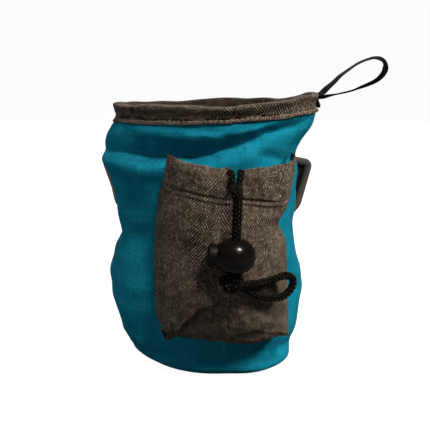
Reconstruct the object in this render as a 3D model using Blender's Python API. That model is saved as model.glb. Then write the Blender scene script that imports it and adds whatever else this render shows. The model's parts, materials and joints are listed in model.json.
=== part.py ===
"""Treat pouch for dog training: a lined cloth pouch on a stiff rim, with a gusseted drawstring pocket on
its front, a ribbon loop at the rim and a waist belt folded double behind it.

Run it with: blender --background --python part.py

Shapes are worked out in millimetres and stored in metres. +Z is up, the pocket faces -Y, and the origin
is the middle of the base, on the ground.
"""

import math

import bmesh
import bpy
import numpy as np
from mathutils import Matrix, Vector

MM = 0.001
AROUND = 40  # flats around the pouch's wall

# ---- Driving dimensions, in mm ----
RIM_TOP = 170.0  # mean height of the rim
RIM_RISE = 3.7  # how far the rim's right end rises, and its left end drops
RIM_DIP = 1.3  # how far the rim bends down at the front and back, and how far it tips backwards
CLOTH = 1.2  # canvas with its interfacing
LINING = 1.0
GAP = 0.3  # clearance between neighbouring layers
BAND_HEIGHT = 12.0  # visible height of the folded rim band
CORD_RADIUS = 2.0
BALL_RADIUS = 10.0
WEBBING_WIDTH = 38.0
WEBBING_THICK = 1.6
BELT_TILT = math.radians(12.0)  # the folded belt droops to the right
BELT_HEIGHT = 115.5  # where the belt crosses the middle of the back

# Outer cloth surface: height, half width, half depth and sideways lean
BODY_STATIONS = (
    (0.6, 51.0, 50.0, 5.2),
    (1.7, 53.0, 52.0, 5.2),
    (5.0, 57.0, 55.0, 4.8),
    (14.0, 61.2, 58.2, 3.6),
    (30.0, 64.8, 60.0, 1.8),
    (46.0, 65.6, 60.0, 1.0),
    (66.0, 62.2, 58.0, 1.0),
    (86.0, 57.6, 56.2, 2.0),
    (110.0, 59.8, 57.0, 1.5),
    (122.0, 62.2, 57.6, -0.4),
    (134.0, 63.8, 58.0, -2.4),
    (142.0, 65.4, 58.0, -1.0),
    (150.0, 66.6, 58.0, 3.4),
    (158.0, 66.4, 57.5, 8.0),
    (RIM_TOP, 67.0, 57.0, 12.0),
)
WALL_LEVELS = [station[0] for station in BODY_STATIONS[:-1]] + [162.0]

# Front pocket: height, half width, sideways centre, and how far its front stands from the pouch's axis
POCKET_STATIONS = (
    (27.0, 39.7, 4.7, 61.0),
    (34.0, 40.4, 3.9, 68.5),
    (44.0, 41.1, 2.7, 78.0),
    (56.0, 41.0, 2.4, 84.5),
    (72.0, 40.9, 2.3, 87.0),
    (88.0, 39.9, 2.0, 86.6),
    (98.0, 37.0, 0.2, 85.2),
    (110.0, 38.7, 3.6, 83.2),
    (118.2, 39.2, 5.8, 81.6),
    (127.0, 39.5, 7.8, 79.6),
    (136.0, 39.4, 9.4, 77.5),
)
POCKET_SEAM = 118.2  # the stitch line under the drawcord casing
POCKET_GAP = 0.6  # clearance between the pocket's edge and the pouch
HEM_RISE = 5.0  # how far the hem's left end rises above its middle
SLIT_X = 4.0  # where the casing is open and the drawcord comes out
SLIT_HALF = 5.0
CORD_LEVEL = 131.0  # height of the drawcord inside its casing

# Cord lock: its middle, and the directions of its cord hole and its button
LOCK_CENTRE = Vector((1.4, -97.0, 89.6))
CORD_WAY = Vector((0.05, 0.0925, 0.9945)).normalized()
BUTTON_WAY = Vector((-0.966, 0.259, 0.0))
BUTTON_WAY = (BUTTON_WAY - BUTTON_WAY.dot(CORD_WAY) * CORD_WAY).normalized()
SIDE_WAY = CORD_WAY.cross(BUTTON_WAY)
BUTTON_TRAVEL = 2.5
KNOT_CENTRE = LOCK_CENTRE + Vector((-1.6, 1.6, -15.4))

# Belt, in its own frame: X along it, Y away from the pouch, Z across it
LAYER_A, LAYER_B, LAYER_C = 60.2, 64.0, 66.2  # the layer in the belt loops and the two behind it
BUCKLE_Y = 73.4
LAYER_D = BUCKLE_Y - 2.8
BELT_LEFT, BELT_RIGHT = -46.0, 86.0  # where the folds start
BUCKLE_HALF = 24.5  # half of the buckle's width
MOUTH_X = 20.0  # where the buckle's two halves meet


# ---- Small tools ----
def smooth_value(stations, height, column):
    """One column of a station table at a height, on a smooth curve through the stations."""
    heights = np.array([row[0] for row in stations])
    values = np.array([row[column] for row in stations])
    slopes = np.gradient(values, heights)
    at = float(np.clip(height, heights[0], heights[-1]))
    i = int(np.clip(np.searchsorted(heights, at) - 1, 0, len(heights) - 2))
    span = heights[i + 1] - heights[i]
    t = (at - heights[i]) / span
    return float(
        (1 + 2 * t) * (1 - t) ** 2 * values[i]
        + t * (1 - t) ** 2 * span * slopes[i]
        + t * t * (3 - 2 * t) * values[i + 1]
        + t * t * (t - 1) * span * slopes[i + 1]
    )


def smooth_path(points, steps):
    """Points on a Catmull-Rom curve through the given points, with this many steps between neighbours."""
    points = [Vector(p) for p in points]
    padded = [2 * points[0] - points[1], *points, 2 * points[-1] - points[-2]]
    path = []
    for a, b, c, d in zip(padded, padded[1:], padded[2:], padded[3:]):
        for step in range(steps):
            t = step / steps
            path.append(
                0.5 * (2 * b + (c - a) * t + (2 * a - 5 * b + 4 * c - d) * t**2 + (3 * b - a - 3 * c + d) * t**3)
            )
    return [*path, points[-1]]


def smooth_step(t):
    t = min(1.0, max(0.0, t))
    return t * t * (3 - 2 * t)


def finish(name, colour, roughness, metallic=0.0):
    """A plain material with this colour."""
    material = bpy.data.materials.new(name)
    material.use_nodes = True
    shader = material.node_tree.nodes["Principled BSDF"]
    shader.inputs["Base Color"].default_value = (*colour, 1.0)
    shader.inputs["Roughness"].default_value = roughness
    shader.inputs["Metallic"].default_value = metallic
    return material


def new_object(name, bm, material, origin=(0, 0, 0), parent=None, round_over=40):
    """Turns a bmesh in mm into an object in metres, with its origin at the given point."""
    bmesh.ops.recalc_face_normals(bm, faces=bm.faces)
    bmesh.ops.transform(bm, matrix=Matrix.Scale(MM, 4) @ Matrix.Translation(-Vector(origin)), verts=bm.verts)
    mesh = bpy.data.meshes.new(name)
    bm.to_mesh(mesh)
    bm.free()
    mesh.shade_smooth()
    mesh.set_sharp_from_angle(angle=math.radians(round_over))
    mesh.materials.append(material)
    made = bpy.data.objects.new(name, mesh)
    bpy.context.scene.collection.objects.link(made)
    made.location = Vector(origin) * MM
    made.parent = parent
    return made


def frame_empty(name, origin, rotation=None):
    """An empty that carries pieces modelled in their own frame."""
    empty = bpy.data.objects.new(name, None)
    bpy.context.scene.collection.objects.link(empty)
    turn = rotation.to_4x4() if rotation else Matrix.Identity(4)
    empty.matrix_world = Matrix.Translation(Vector(origin) * MM) @ turn
    return empty


def loft_bmesh(rings, closed=False):
    """A solid through rings of equal point count. A closed one joins the last ring to the first."""
    bm = bmesh.new()
    made = [[bm.verts.new(p) for p in ring] for ring in rings]
    count = len(rings[0])
    pairs = list(zip(made, made[1:]))
    if closed:
        pairs.append((made[-1], made[0]))
    else:
        bm.faces.new(made[0])
        bm.faces.new(made[-1])
    for low, high in pairs:
        for i in range(count):
            j = (i + 1) % count
            bm.faces.new((low[i], low[j], high[j], high[i]))
    return bm


def box_bmesh(low, high):
    bm = bmesh.new()
    low, high = Vector(low), Vector(high)
    size = Matrix.Diagonal((*(high - low), 1))
    bmesh.ops.create_cube(bm, size=1.0, matrix=Matrix.Translation((low + high) / 2) @ size)
    return bm


def cylinder_bmesh(radius, low, high, sides=24, axis="X"):
    """A cylinder along one of its frame's axes, from low to high."""
    turn = {"X": Matrix.Rotation(math.pi / 2, 4, "Y"), "Z": Matrix.Identity(4)}[axis]
    shift = Matrix.Translation((0, 0, (low + high) / 2))
    bm = bmesh.new()
    bmesh.ops.create_cone(
        bm, cap_ends=True, segments=sides, radius1=radius, radius2=radius, depth=high - low, matrix=turn @ shift
    )
    return bm


def prism_bmesh(outline, low, high):
    """An outline in X and Z, extruded along Y from low to high."""
    return loft_bmesh([[(x, y, z) for x, z in outline] for y in (low, high)])


def helper(name, bm, parent=None):
    """A cutter, or a shape to join: it isn't a part."""
    made = new_object(name, bm, None, parent=parent)
    made.hide_render = True
    made.display_type = "WIRE"
    return made


def combine(target, tool, operation):
    modifier = target.modifiers.new(tool.name, "BOOLEAN")
    modifier.object = tool
    modifier.operation = operation
    modifier.solver = "EXACT"


def bevel(target, width, segments=2):
    modifier = target.modifiers.new("rounded edges", "BEVEL")
    modifier.width = width * MM
    modifier.segments = segments
    modifier.limit_method = "ANGLE"


def cord_rings(path, radius, sides=10):
    """Round sections along a path, with no twist between neighbours."""
    rings = []
    side = None
    for i, point in enumerate(path):
        way = (path[min(i + 1, len(path) - 1)] - path[max(i - 1, 0)]).normalized()
        side = (side - side.dot(way) * way) if side else way.orthogonal()
        side.normalize()
        other = way.cross(side)
        turns = [2 * math.pi * k / sides for k in range(sides)]
        rings.append([point + radius * (math.cos(t) * side + math.sin(t) * other) for t in turns])
    return rings


# ---- The pouch's surface ----
def body_point(angle, level, inset):
    """A point of the wall: inset 0 is the outer cloth's outside, and more is further in."""
    half_width, half_depth, lean = (smooth_value(BODY_STATIONS, level, k) for k in (1, 2, 3))
    normal = Vector((half_depth * math.cos(angle), half_width * math.sin(angle))).normalized()
    x = half_width * math.cos(angle) - inset * normal.x
    y = half_depth * math.sin(angle) - inset * normal.y
    across, along = x / half_width, y / half_depth
    bend = RIM_RISE * across + RIM_DIP * (across**2 - along**2 - along)
    return Vector((lean + x, y, level + bend * smooth_step((level - 130) / 40)))


def body_depth(x, z):
    """How far the wall stands from the X axis at a place on its front or back."""
    half_width, half_depth, lean = (smooth_value(BODY_STATIONS, z, k) for k in (1, 2, 3))
    across = min(1.0, abs(x - lean) / half_width)
    return half_depth * math.sqrt(1 - across**2)


def wall_ring(level, inset):
    return [body_point(2 * math.pi * k / AROUND, level, inset) for k in range(AROUND)]


def wall_piece(name, profile, material):
    """A piece that runs all the way round the wall. The profile is a closed loop of level and inset."""
    return new_object(name, loft_bmesh([wall_ring(*corner) for corner in profile], closed=True), material)


def make_pouch(canvas, tweed, stiffener):
    lining_in = CLOTH + GAP
    outside = [(level, 0.0) for level in WALL_LEVELS]
    inside = [(level, CLOTH) for level in reversed(WALL_LEVELS)]
    wall_piece("outer_side_panel", outside + inside, canvas)
    outside = [(level, lining_in) for level in WALL_LEVELS[1:]]
    inside = [(level, lining_in + LINING) for level in reversed(WALL_LEVELS[1:])]
    wall_piece("lining_side_panel", outside + inside, tweed)

    base_rings = [wall_ring(0.6, CLOTH + GAP) for _ in range(2)]
    for ring, height in zip(base_rings, (0.0, 1.2)):
        for point in ring:
            point.z = height
    new_object("outer_base_panel", loft_bmesh(base_rings), canvas)
    lining_rings = [wall_ring(1.7, lining_in + LINING + GAP) for _ in range(2)]
    for ring, height in zip(lining_rings, (1.6, 2.6)):
        for point in ring:
            point.z = height
    new_object("lining_base_panel", loft_bmesh(lining_rings), tweed)

    hoop_low, hoop_high = 162.8, RIM_TOP - 1.8
    wall_piece(
        "rim_hoop", [(hoop_low, 0.5), (hoop_low, 2.0), (hoop_high, 2.0), (hoop_high, 0.5)], stiffener
    )
    foot, seam, shoulder = RIM_TOP - BAND_HEIGHT, WALL_LEVELS[-1], RIM_TOP - 1.4
    face, back = -GAP - CLOTH, lining_in + LINING + GAP + CLOTH
    band_profile = [
        (foot, -GAP),
        (foot, face),
        (seam, face),
        (shoulder, face),
        (RIM_TOP - 0.3, face + 0.8),
        (RIM_TOP, (face + back) / 2),
        (RIM_TOP - 0.3, back - 0.8),
        (shoulder, back),
        (seam, back),
        (foot, back),
        (foot, back - CLOTH),
        (seam, back - CLOTH),
        (shoulder - 0.1, back - CLOTH),
        (shoulder - 0.1, -GAP),
        (seam, -GAP),
    ]
    wall_piece("rim_band", band_profile, tweed)


# ---- Side pieces ----
def make_side_tag(leather):
    """A folded blank tag in the left side seam."""
    outline = ((1.2, -1.0), (1.2, 1.0), (3.6, 1.0), (4.2, 0.0), (3.6, -1.0))
    rings = []
    for z in np.linspace(100.0, 131.0, 6):
        wall = body_point(math.radians(172), z, 0.0)
        rings.append([(wall.x - out, wall.y + y, z) for out, y in outline])
    new_object("side_tag", loft_bmesh(rings), leather)


def ribbon_rings(path, turns, width, thick):
    """Sections of a ribbon whose face turns about its own path by these (share, degrees)."""
    rings = []
    for i, point in enumerate(path):
        way = (path[min(i + 1, len(path) - 1)] - path[max(i - 1, 0)]).normalized()
        level = way.cross(Vector((0, 1, 0))).normalized()
        turn = math.radians(float(np.interp(i / (len(path) - 1), *zip(*turns))))
        across = math.cos(turn) * Vector((0, 1, 0)) + math.sin(turn) * level
        through = way.cross(across).normalized()
        corners = ((-1, -1), (1, -1), (1, 1), (-1, 1))
        rings.append([point + a * width / 2 * across + b * thick / 2 * through for a, b in corners])
    return rings


def make_ribbon(ribbon):
    """A folded ribbon: both its ends are sewn flat on the rim, and its loop stands away from them."""
    angle = math.radians(-4)
    width, thick = 8.0, 0.7
    foot_path = [body_point(angle, RIM_TOP - drop, -1.9 - thick) for drop in (10.5, 6.5, 2.5)]
    foot_path.append(body_point(angle, RIM_TOP - 0.4, -3.4))
    still = ((0.0, 0), (1.0, 0))
    new_object("ribbon_foot", loft_bmesh(ribbon_rings(foot_path, still, width, 2 * thick)), ribbon)
    hinge = foot_path[-1] + Vector((1.4, 0, 0.9))
    upward = ((0.9, 0.9), (5, 4.4), (13, 10.2), (25, 16.8), (34, 19.2), (40.6, 17.4), (42.8, 12.0), (40.6, 6.8))
    homeward = ((32, 2.6), (22, -0.6), (12, -2.4), (5.5, -2.6), (1.4, -0.8))
    path = smooth_path([hinge + Vector((x, 0, z)) for x, z in upward + homeward], 2)
    turns = ((0.0, 0), (0.1, -12), (0.25, -18), (0.4, 0), (0.53, 48), (0.64, 24), (0.78, 9), (0.9, 4), (1.0, 0))
    new_object("ribbon_loop", loft_bmesh(ribbon_rings(path, turns, width, thick)), ribbon, origin=hinge)


# ---- Front pocket and its drawcord ----
def pocket_front(x, z):
    """Y of the pocket's outside."""
    half, centre, stand = (smooth_value(POCKET_STATIONS, z, k) for k in (1, 2, 3))
    across = min(1.0, abs(x - centre) / half)
    side = math.copysign(half - 2.0, x - centre) + centre
    edge = body_depth(side, z) + POCKET_GAP
    bulge = math.sqrt(1 - across**2.6)
    return -(edge + (stand - edge) * bulge)


def pocket_x(share, z):
    half, centre = (smooth_value(POCKET_STATIONS, z, k) for k in (1, 2))
    return centre + half * share


def raised(point):
    """The point moved up with the hem's left end."""
    rise = HEM_RISE * smooth_step((2.0 - point.x) / 36) * smooth_step((point.z - 80) / 38)
    return Vector((point.x, point.y, point.z + rise))


def make_pocket(tweed, hinge):
    """The pocket's cloth below the casing: a bulged sheet, sewn to the pouch at its sides and foot."""
    levels = [*np.linspace(POCKET_STATIONS[0][0], 56, 5), *np.linspace(68, POCKET_SEAM, 5)]
    shares = np.sin(np.linspace(-math.pi / 2, math.pi / 2, 17))
    bm = bmesh.new()
    grid = []
    for z in levels:
        xs = [pocket_x(share, z) for share in shares]
        grid.append([bm.verts.new(raised(Vector((x, pocket_front(x, z), z)))) for x in xs])
    for low, high in zip(grid, grid[1:]):
        for k in range(len(shares) - 1):
            bm.faces.new((low[k], low[k + 1], high[k + 1], high[k]))
    panel = new_object("pocket_panel", bm, tweed, origin=hinge, round_over=60)
    thicken = panel.modifiers.new("cloth thickness", "SOLIDIFY")
    thicken.thickness = CLOTH * MM
    thicken.offset = -1.0


def casing_point(x, ahead, z):
    """A point of the casing's section: ahead is how far it stands in front of the cord's line."""
    y = pocket_front(x, CORD_LEVEL)
    step = 0.5
    slope = (pocket_front(x + step, CORD_LEVEL) - pocket_front(x - step, CORD_LEVEL)) / (2 * step)
    normal = Vector((slope, -1.0)).normalized()
    return raised(Vector((x + normal.x * ahead, y + normal.y * ahead, z)))


def make_casing(name, first, last, tweed, hinge):
    """Half of the hem that the drawcord runs in: a tube with a flat skirt, open at both ends."""
    low = POCKET_SEAM + GAP
    outline = ((0.8, low), (1.2, 122.5), (2.9, 127.2), (3.4, 131.0), (2.4, 134.2), (0.0, 135.6))
    outline += ((-2.4, 134.2), (-3.4, 131.0), (-2.9, 127.2), (-1.2, 122.5), (-0.8, low), (0.0, low - 0.1))
    hole_radius = CORD_RADIUS + 0.45
    turns = [math.radians(-75 + 30 * k) for k in range(len(outline))]
    hole = [(hole_radius * math.cos(t), CORD_LEVEL + hole_radius * math.sin(t)) for t in turns]
    xs = np.linspace(first, last, 8)
    outer = [[casing_point(x, n, z) for n, z in outline] for x in xs]
    inner = [[casing_point(x, n, z) for n, z in hole] for x in reversed(xs)]
    new_object(name, loft_bmesh(outer + inner, closed=True), tweed, origin=hinge, round_over=60)


def make_drawcord(name, side, cord, hinge):
    """One run of the drawcord: out of its casing, over the hem and down through the cord lock."""
    far = pocket_x(0.62 * side, CORD_LEVEL)
    inside = [casing_point(x, 0, CORD_LEVEL) for x in np.linspace(far, SLIT_X + side * 5.2, 4)]
    exit_y = casing_point(SLIT_X, 0, CORD_LEVEL).y
    # The two runs' middle line, their distance from it, and how far they have turned round each other
    middle = [
        (Vector((SLIT_X, exit_y - 2.0, CORD_LEVEL - 0.2)), 3.0, 0),
        (Vector((SLIT_X - 0.2, exit_y - 7.2, CORD_LEVEL - 2.6)), 2.5, 6),
        (LOCK_CENTRE + CORD_WAY * 35 + Vector((0.0, 1.2, 0.0)), 2.35, 42),
    ]
    middle += [(LOCK_CENTRE + CORD_WAY * reach, 2.15, 84) for reach in (30, 15, 0, -9.7)]
    outside = []
    for point, reach, turn in middle:
        turn = math.radians(turn)
        outside.append(point + side * reach * Vector((math.cos(turn), -math.sin(turn), 0.0)))
    path = smooth_path(inside + outside, 3)
    new_object(name, loft_bmesh(cord_rings(path, CORD_RADIUS)), cord, origin=hinge)


def make_knot_and_loop(cord):
    """The knot that stops the lock, and the loop that the cord's bight makes beyond it."""
    bm = bmesh.new()
    bmesh.ops.create_uvsphere(bm, u_segments=16, v_segments=10, radius=1.0)
    size = Matrix.Diagonal((6.6, 5.6, 6.0, 1.0))
    bmesh.ops.transform(bm, matrix=Matrix.Translation(KNOT_CENTRE) @ size, verts=bm.verts)
    knot = new_object("drawcord_knot", bm, cord)
    nest = bmesh.new()
    around_lock = Matrix.Translation(LOCK_CENTRE)
    bmesh.ops.create_uvsphere(nest, u_segments=24, v_segments=14, radius=BALL_RADIUS + 0.7, matrix=around_lock)
    combine(knot, helper("knot_nest_cutter", nest), "DIFFERENCE")
    outline = ((7.9, -1.8, -1.0), (10.5, 1.0, -1.9), (17.0, 4.4, -2.3), (22.8, 6.2, -1.4), (28.0, 7.6, -0.4))
    outline += ((31.6, 8.6, -0.5), (34.6, 9.4, -3.4), (33.4, 9.1, -7.2), (29.8, 8.0, -9.9), (24.6, 6.6, -10.4))
    outline += ((18.2, 5.6, -8.9), (12.4, 4.6, -6.5), (7.9, 2.3, -3.4))
    path = smooth_path([KNOT_CENTRE + Vector(point) for point in outline], 3)
    new_object("drawcord_tail_loop", loft_bmesh(cord_rings(path, CORD_RADIUS)), cord, origin=KNOT_CENTRE)


def make_cord_lock(plastic, steel):
    """A ball with a sprung button. Its frame has X along the button and Z along the cords."""
    turn = Matrix((BUTTON_WAY, SIDE_WAY, CORD_WAY)).transposed()
    frame = frame_empty("cord_lock_frame", LOCK_CENTRE, turn)
    bore, well = 6.45, 3.6
    bore_end, well_end = -6.8, -8.5

    bm = bmesh.new()
    bmesh.ops.create_uvsphere(bm, u_segments=28, v_segments=16, radius=BALL_RADIUS)
    housing = new_object("cord_lock_housing", bm, plastic, parent=frame)
    slot = rounded_rectangle((-3.0, -4.5), (3.0, 4.5), 2.3)
    cutters = (
        ("bore_cutter", cylinder_bmesh(bore, bore_end, 14.0)),
        ("well_cutter", cylinder_bmesh(well, well_end, 0.0, sides=16)),
        ("cord_hole_cutter", loft_bmesh([[(x, y, z) for x, y in slot] for z in (-13.0, 13.0)])),
    )
    for name, shape in cutters:
        combine(housing, helper(name, shape, frame), "DIFFERENCE")

    plunger_rings = []
    outline = ((-4.1, 5.7), (-3.7, 6.2), (10.4, 6.2), (10.6, 6.9), (13.4, 6.9), (14.5, 5.8), (15.0, 3.6))
    for x, radius in outline:
        turns = np.linspace(0, 2 * math.pi, 24, False)
        plunger_rings.append([(x, radius * math.cos(t), radius * math.sin(t)) for t in turns])
    plunger = new_object("cord_lock_plunger", loft_bmesh(plunger_rings), plastic, parent=frame)
    gate = box_bmesh((-3.1, -4.5, -8.0), (3.1 + BUTTON_TRAVEL, 4.5, 8.0))
    combine(plunger, helper("gate_cutter", gate, frame), "DIFFERENCE")

    wire, coil, turns_made = 0.35, 2.9, 3.0
    low, high = well_end + 0.15 + wire, -4.25 - wire
    steps = int(turns_made * 14)
    path = []
    for k in range(steps + 1):
        share = k / steps
        turn_angle = 2 * math.pi * turns_made * share
        path.append(
            Vector((low + (high - low) * share, coil * math.cos(turn_angle), coil * math.sin(turn_angle)))
        )
    new_object("cord_lock_spring", loft_bmesh(cord_rings(path, wire, sides=6)), steel, parent=frame)


# ---- Belt loops on the back ----
def back_strip(name, xs, zs, inner, thickness, material):
    """A strip on the pouch's back: inner gives how far its inside stands from the X axis."""
    rings = []
    for z in zs:
        near = [(x, inner(x, z), z) for x in xs]
        far = [(x, inner(x, z) + thickness, z) for x in reversed(xs)]
        rings.append(near + far)
    return new_object(name, loft_bmesh(rings), material, round_over=60)


def make_belt_loops(webbing, thread):
    """Two upright straps that the belt passes behind, and the bar tacks that hold them."""
    half_width, clear_half, sewn = 10.0, 24.5, 7.0
    stand = LAYER_A + WEBBING_THICK / 2 + 0.4
    thick = 1.4

    reach = clear_half + sewn
    steps = (reach, 28.0, 26.4, 24.6, 22.8, 21.0, 8.0)
    for side, word in ((-1, "left"), (1, "right")):
        place = side * 18.0
        level = BELT_HEIGHT - place * math.tan(BELT_TILT)

        def inner(x, z, level=level):
            on_wall = body_depth(x, z) + 0.7
            return on_wall + (stand - on_wall) * smooth_step((clear_half + 2.5 - abs(z - level)) / 5.0)

        def outer(x, z, inner=inner):
            return inner(x, z) + thick + 0.25

        xs = [place + offset for offset in np.linspace(-half_width, half_width, 5)]
        zs = [level - s for s in steps] + [level + s for s in reversed(steps)]
        back_strip(f"belt_loop_{word}", xs, zs, inner, thick, webbing)
        tack_xs = [place + offset for offset in (-8.0, 0.0, 8.0)]
        for end, height in ((-1, "lower"), (1, "upper")):
            middle = level + end * (reach - 2.6)
            name = f"bar_tack_{word}_{height}"
            back_strip(name, tack_xs, (middle - 0.9, middle + 0.9), outer, 0.6, thread)


# ---- Waist belt ----
def arc(centre, radius, start, stop, steps):
    """Points on an arc, from one angle to another, in degrees."""
    angles = [math.radians(a) for a in np.linspace(start, stop, steps)]
    return [(centre[0] + radius * math.cos(a), centre[1] + radius * math.sin(a)) for a in angles]


def bar_wrap(bar_x, side):
    """The strap's path round a buckle's bar, from its sewn end to the layer that leaves the buckle."""
    over = 2 * BUCKLE_Y - LAYER_D
    rise = over - BUCKLE_Y
    sewn_end = [(bar_x + side * 9.6, LAYER_D + WEBBING_THICK + 0.5), (bar_x + side * 5.5, over - 0.9)]
    turn = arc((bar_x - side * 0.6, BUCKLE_Y), rise, 90, 90 + side * 180, 7)
    return sewn_end + [(bar_x + side * 2.5, over)] + turn


def belt_path():
    """The belt's middle line, from its sewn end on the socket to its sewn end on the plug."""
    outer_fold = (LAYER_D - LAYER_A) / 2
    right_fold = (LAYER_B - LAYER_A) / 2
    inner_fold = (LAYER_C - LAYER_B) / 2
    back_fold = (LAYER_D - LAYER_C) / 2
    path = bar_wrap(MOUTH_X - 45.0, -1)
    path += arc((BELT_LEFT, LAYER_A + outer_fold), outer_fold, 90, 270, 9)
    path += arc((BELT_RIGHT, LAYER_A + right_fold), right_fold, -90, 90, 7)
    path += arc((BELT_LEFT + 3.5, LAYER_B + inner_fold), inner_fold, 270, 90, 5)
    path += arc((BELT_RIGHT, LAYER_C + back_fold), back_fold, -90, 90, 7)
    path += reversed(bar_wrap(MOUTH_X + 21.5, 1))
    return path


def make_webbing(webbing, frame):
    path = [Vector((x, y)) for x, y in belt_path()]
    rings = []
    half = WEBBING_WIDTH / 2
    for i, point in enumerate(path):
        before, after = path[max(i - 1, 0)], path[min(i + 1, len(path) - 1)]
        ways = [(b - a).normalized() for a, b in ((before, point), (point, after)) if (b - a).length > 1e-6]
        way = sum(ways, Vector((0, 0))).normalized()
        normal = Vector((-way.y, way.x))
        reach = WEBBING_THICK / 2 / max(0.5, normal.dot(Vector((-ways[0].y, ways[0].x))))
        near, far = point - normal * reach, point + normal * reach
        rings.append([(near.x, near.y, -half), (far.x, far.y, -half), (far.x, far.y, half), (near.x, near.y, half)])
    new_object("belt_webbing", loft_bmesh(rings), webbing, parent=frame, round_over=50)


def make_socket(plastic, frame):
    """The buckle's female half: a flat shell with side windows for the plug's prongs, and a strap bar."""
    x0, x1 = MOUTH_X - 37.0, MOUTH_X - 0.6
    socket = new_object(
        "buckle_socket",
        box_bmesh((x0, BUCKLE_Y - 6, -BUCKLE_HALF), (x1, BUCKLE_Y + 6, BUCKLE_HALF)),
        plastic,
        parent=frame,
    )
    bevel(socket, 2.2)
    end = helper(
        "socket_end", box_bmesh((x0 - 11, BUCKLE_Y - 1.6, -BUCKLE_HALF), (x0 + 2, BUCKLE_Y + 1.6, BUCKLE_HALF)), frame
    )
    bevel(end, 0.7)
    combine(socket, end, "UNION")
    slot = box_bmesh((x0 - 7.2, BUCKLE_Y - 9, -20.4), (x0 - 0.6, BUCKLE_Y + 9, 20.4))
    cavity = box_bmesh((x0 + 4, BUCKLE_Y - 3.6, -19.6), (x1 + 9, BUCKLE_Y + 3.6, 19.6))
    windows = [
        box_bmesh((x0 + 8, BUCKLE_Y - 3.9, side * 22.5 - 4), (x0 + 26, BUCKLE_Y + 3.9, side * 22.5 + 4))
        for side in (-1, 1)
    ]
    for name, shape in (("slot", slot), ("cavity", cavity), ("window_low", windows[0]), ("window_high", windows[1])):
        combine(socket, helper(f"socket_{name}_cutter", shape, frame), "DIFFERENCE")


def make_plug(plastic, frame):
    """The buckle's male half: a strap end with a guide tongue, and two sprung prongs."""
    x0, x1 = MOUTH_X + 0.6, MOUTH_X + 24.0
    plug = new_object(
        "buckle_plug",
        box_bmesh((x0, BUCKLE_Y - 5.4, -BUCKLE_HALF), (x0 + 10.5, BUCKLE_Y + 5.4, BUCKLE_HALF)),
        plastic,
        parent=frame,
    )
    bevel(plug, 2.0)
    end = helper(
        "plug_end", box_bmesh((x0 + 8, BUCKLE_Y - 1.6, -BUCKLE_HALF), (x1, BUCKLE_Y + 1.6, BUCKLE_HALF)), frame
    )
    bevel(end, 0.7)
    tongue = helper("plug_tongue", box_bmesh((x0 - 30, BUCKLE_Y - 2.6, -3.2), (x0 + 2, BUCKLE_Y + 2.6, 3.2)), frame)
    bevel(tongue, 0.8)
    combine(plug, end, "UNION")
    combine(plug, tongue, "UNION")
    slot = helper("plug_slot_cutter", box_bmesh((x1 - 10.6, BUCKLE_Y - 9, -20.4), (x1 - 3.8, BUCKLE_Y + 9, 20.4)), frame)
    combine(plug, slot, "DIFFERENCE")
    # X is measured from the plug's shoulder, and Z from the buckle's middle line.
    outline = ((-0.3, 9.0), (-0.3, 13.6), (-12.2, 15.6), (-12.2, 22.2), (-17.5, 22.2))
    outline += ((-28.5, 14.2), (-28.5, 11.2), (-14.0, 10.4))
    for side, word in ((-1, "lower"), (1, "upper")):
        points = [(x0 + x, side * z) for x, z in outline]
        pivot = (x0, BUCKLE_Y, side * 11.3)
        prong = prism_bmesh(points, BUCKLE_Y - 2.6, BUCKLE_Y + 2.6)
        bevel(new_object(f"buckle_prong_{word}", prong, plastic, origin=pivot, parent=frame), 0.5, 1)


def rounded_rectangle(low, high, radius, steps=4):
    """Corners of a rounded rectangle in X and Z, anticlockwise from the lower right."""
    points = []
    for corner_x, corner_z, start in ((1, 0, 270), (1, 1, 0), (0, 1, 90), (0, 0, 180)):
        x = high[0] - radius if corner_x else low[0] + radius
        z = high[1] - radius if corner_z else low[1] + radius
        points += arc((x, z), radius, start, start + 90, steps)
    return points


def make_slider(plastic, frame):
    """A three-bar slider: the belt runs behind its outer bars and in front of its middle one."""
    x0, x1 = 63.9, 91.9
    bar, rail, half = 5.4, 4.6, 24.4
    front, back = LAYER_A - 4.0, LAYER_A - 1.2
    outside = rounded_rectangle((x0, -half), (x1, half), 6.0)
    inside = rounded_rectangle((x0 + bar, rail - half), (x1 - bar, half - rail), 0.8)
    rings = [[(x, y, z) for x, z in outline] for outline, y in
             ((outside, front), (outside, back), (inside, back), (inside, front))]
    slider = new_object("belt_slider", loft_bmesh(rings, closed=True), plastic, parent=frame)
    middle, depth = (x0 + x1) / 2, LAYER_A + WEBBING_THICK / 2 + 0.4
    leg, outer, web = 20.0, 22.8, depth + 1.5
    bridge = [(-outer, back - 1.0), (-outer, web), (outer, web), (outer, back - 1.0)]
    bridge += [(leg, back - 1.0), (leg, depth), (-leg, depth), (-leg, back - 1.0)]
    rings = [[(x, y, z) for z, y in bridge] for x in (middle - 2.3, middle + 2.3)]
    combine(slider, helper("slider_middle_bar", loft_bmesh(rings), frame), "UNION")


def make_keeper(elastic, frame):
    """An elastic ring that holds the folded layers together."""
    x0, x1 = -44.5, -38.1
    near, far, half = LAYER_B - 1.1, LAYER_D + 1.2, WEBBING_WIDTH / 2 + 0.5
    wall = 0.9

    def ring(x, grow):
        return [(x, near - grow, -half - grow), (x, far + grow, -half - grow),
                (x, far + grow, half + grow), (x, near - grow, half + grow)]

    rings = [ring(x0, wall), ring(x1, wall), ring(x1, 0), ring(x0, 0)]
    new_object("belt_keeper", loft_bmesh(rings, closed=True), elastic, parent=frame)


def make_belt(webbing, plastic):
    frame = frame_empty("belt_frame", (0, 0, BELT_HEIGHT), Matrix.Rotation(BELT_TILT, 3, "Y"))
    make_webbing(webbing, frame)
    make_socket(plastic, frame)
    make_plug(plastic, frame)
    make_slider(plastic, frame)
    make_keeper(webbing, frame)


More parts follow.
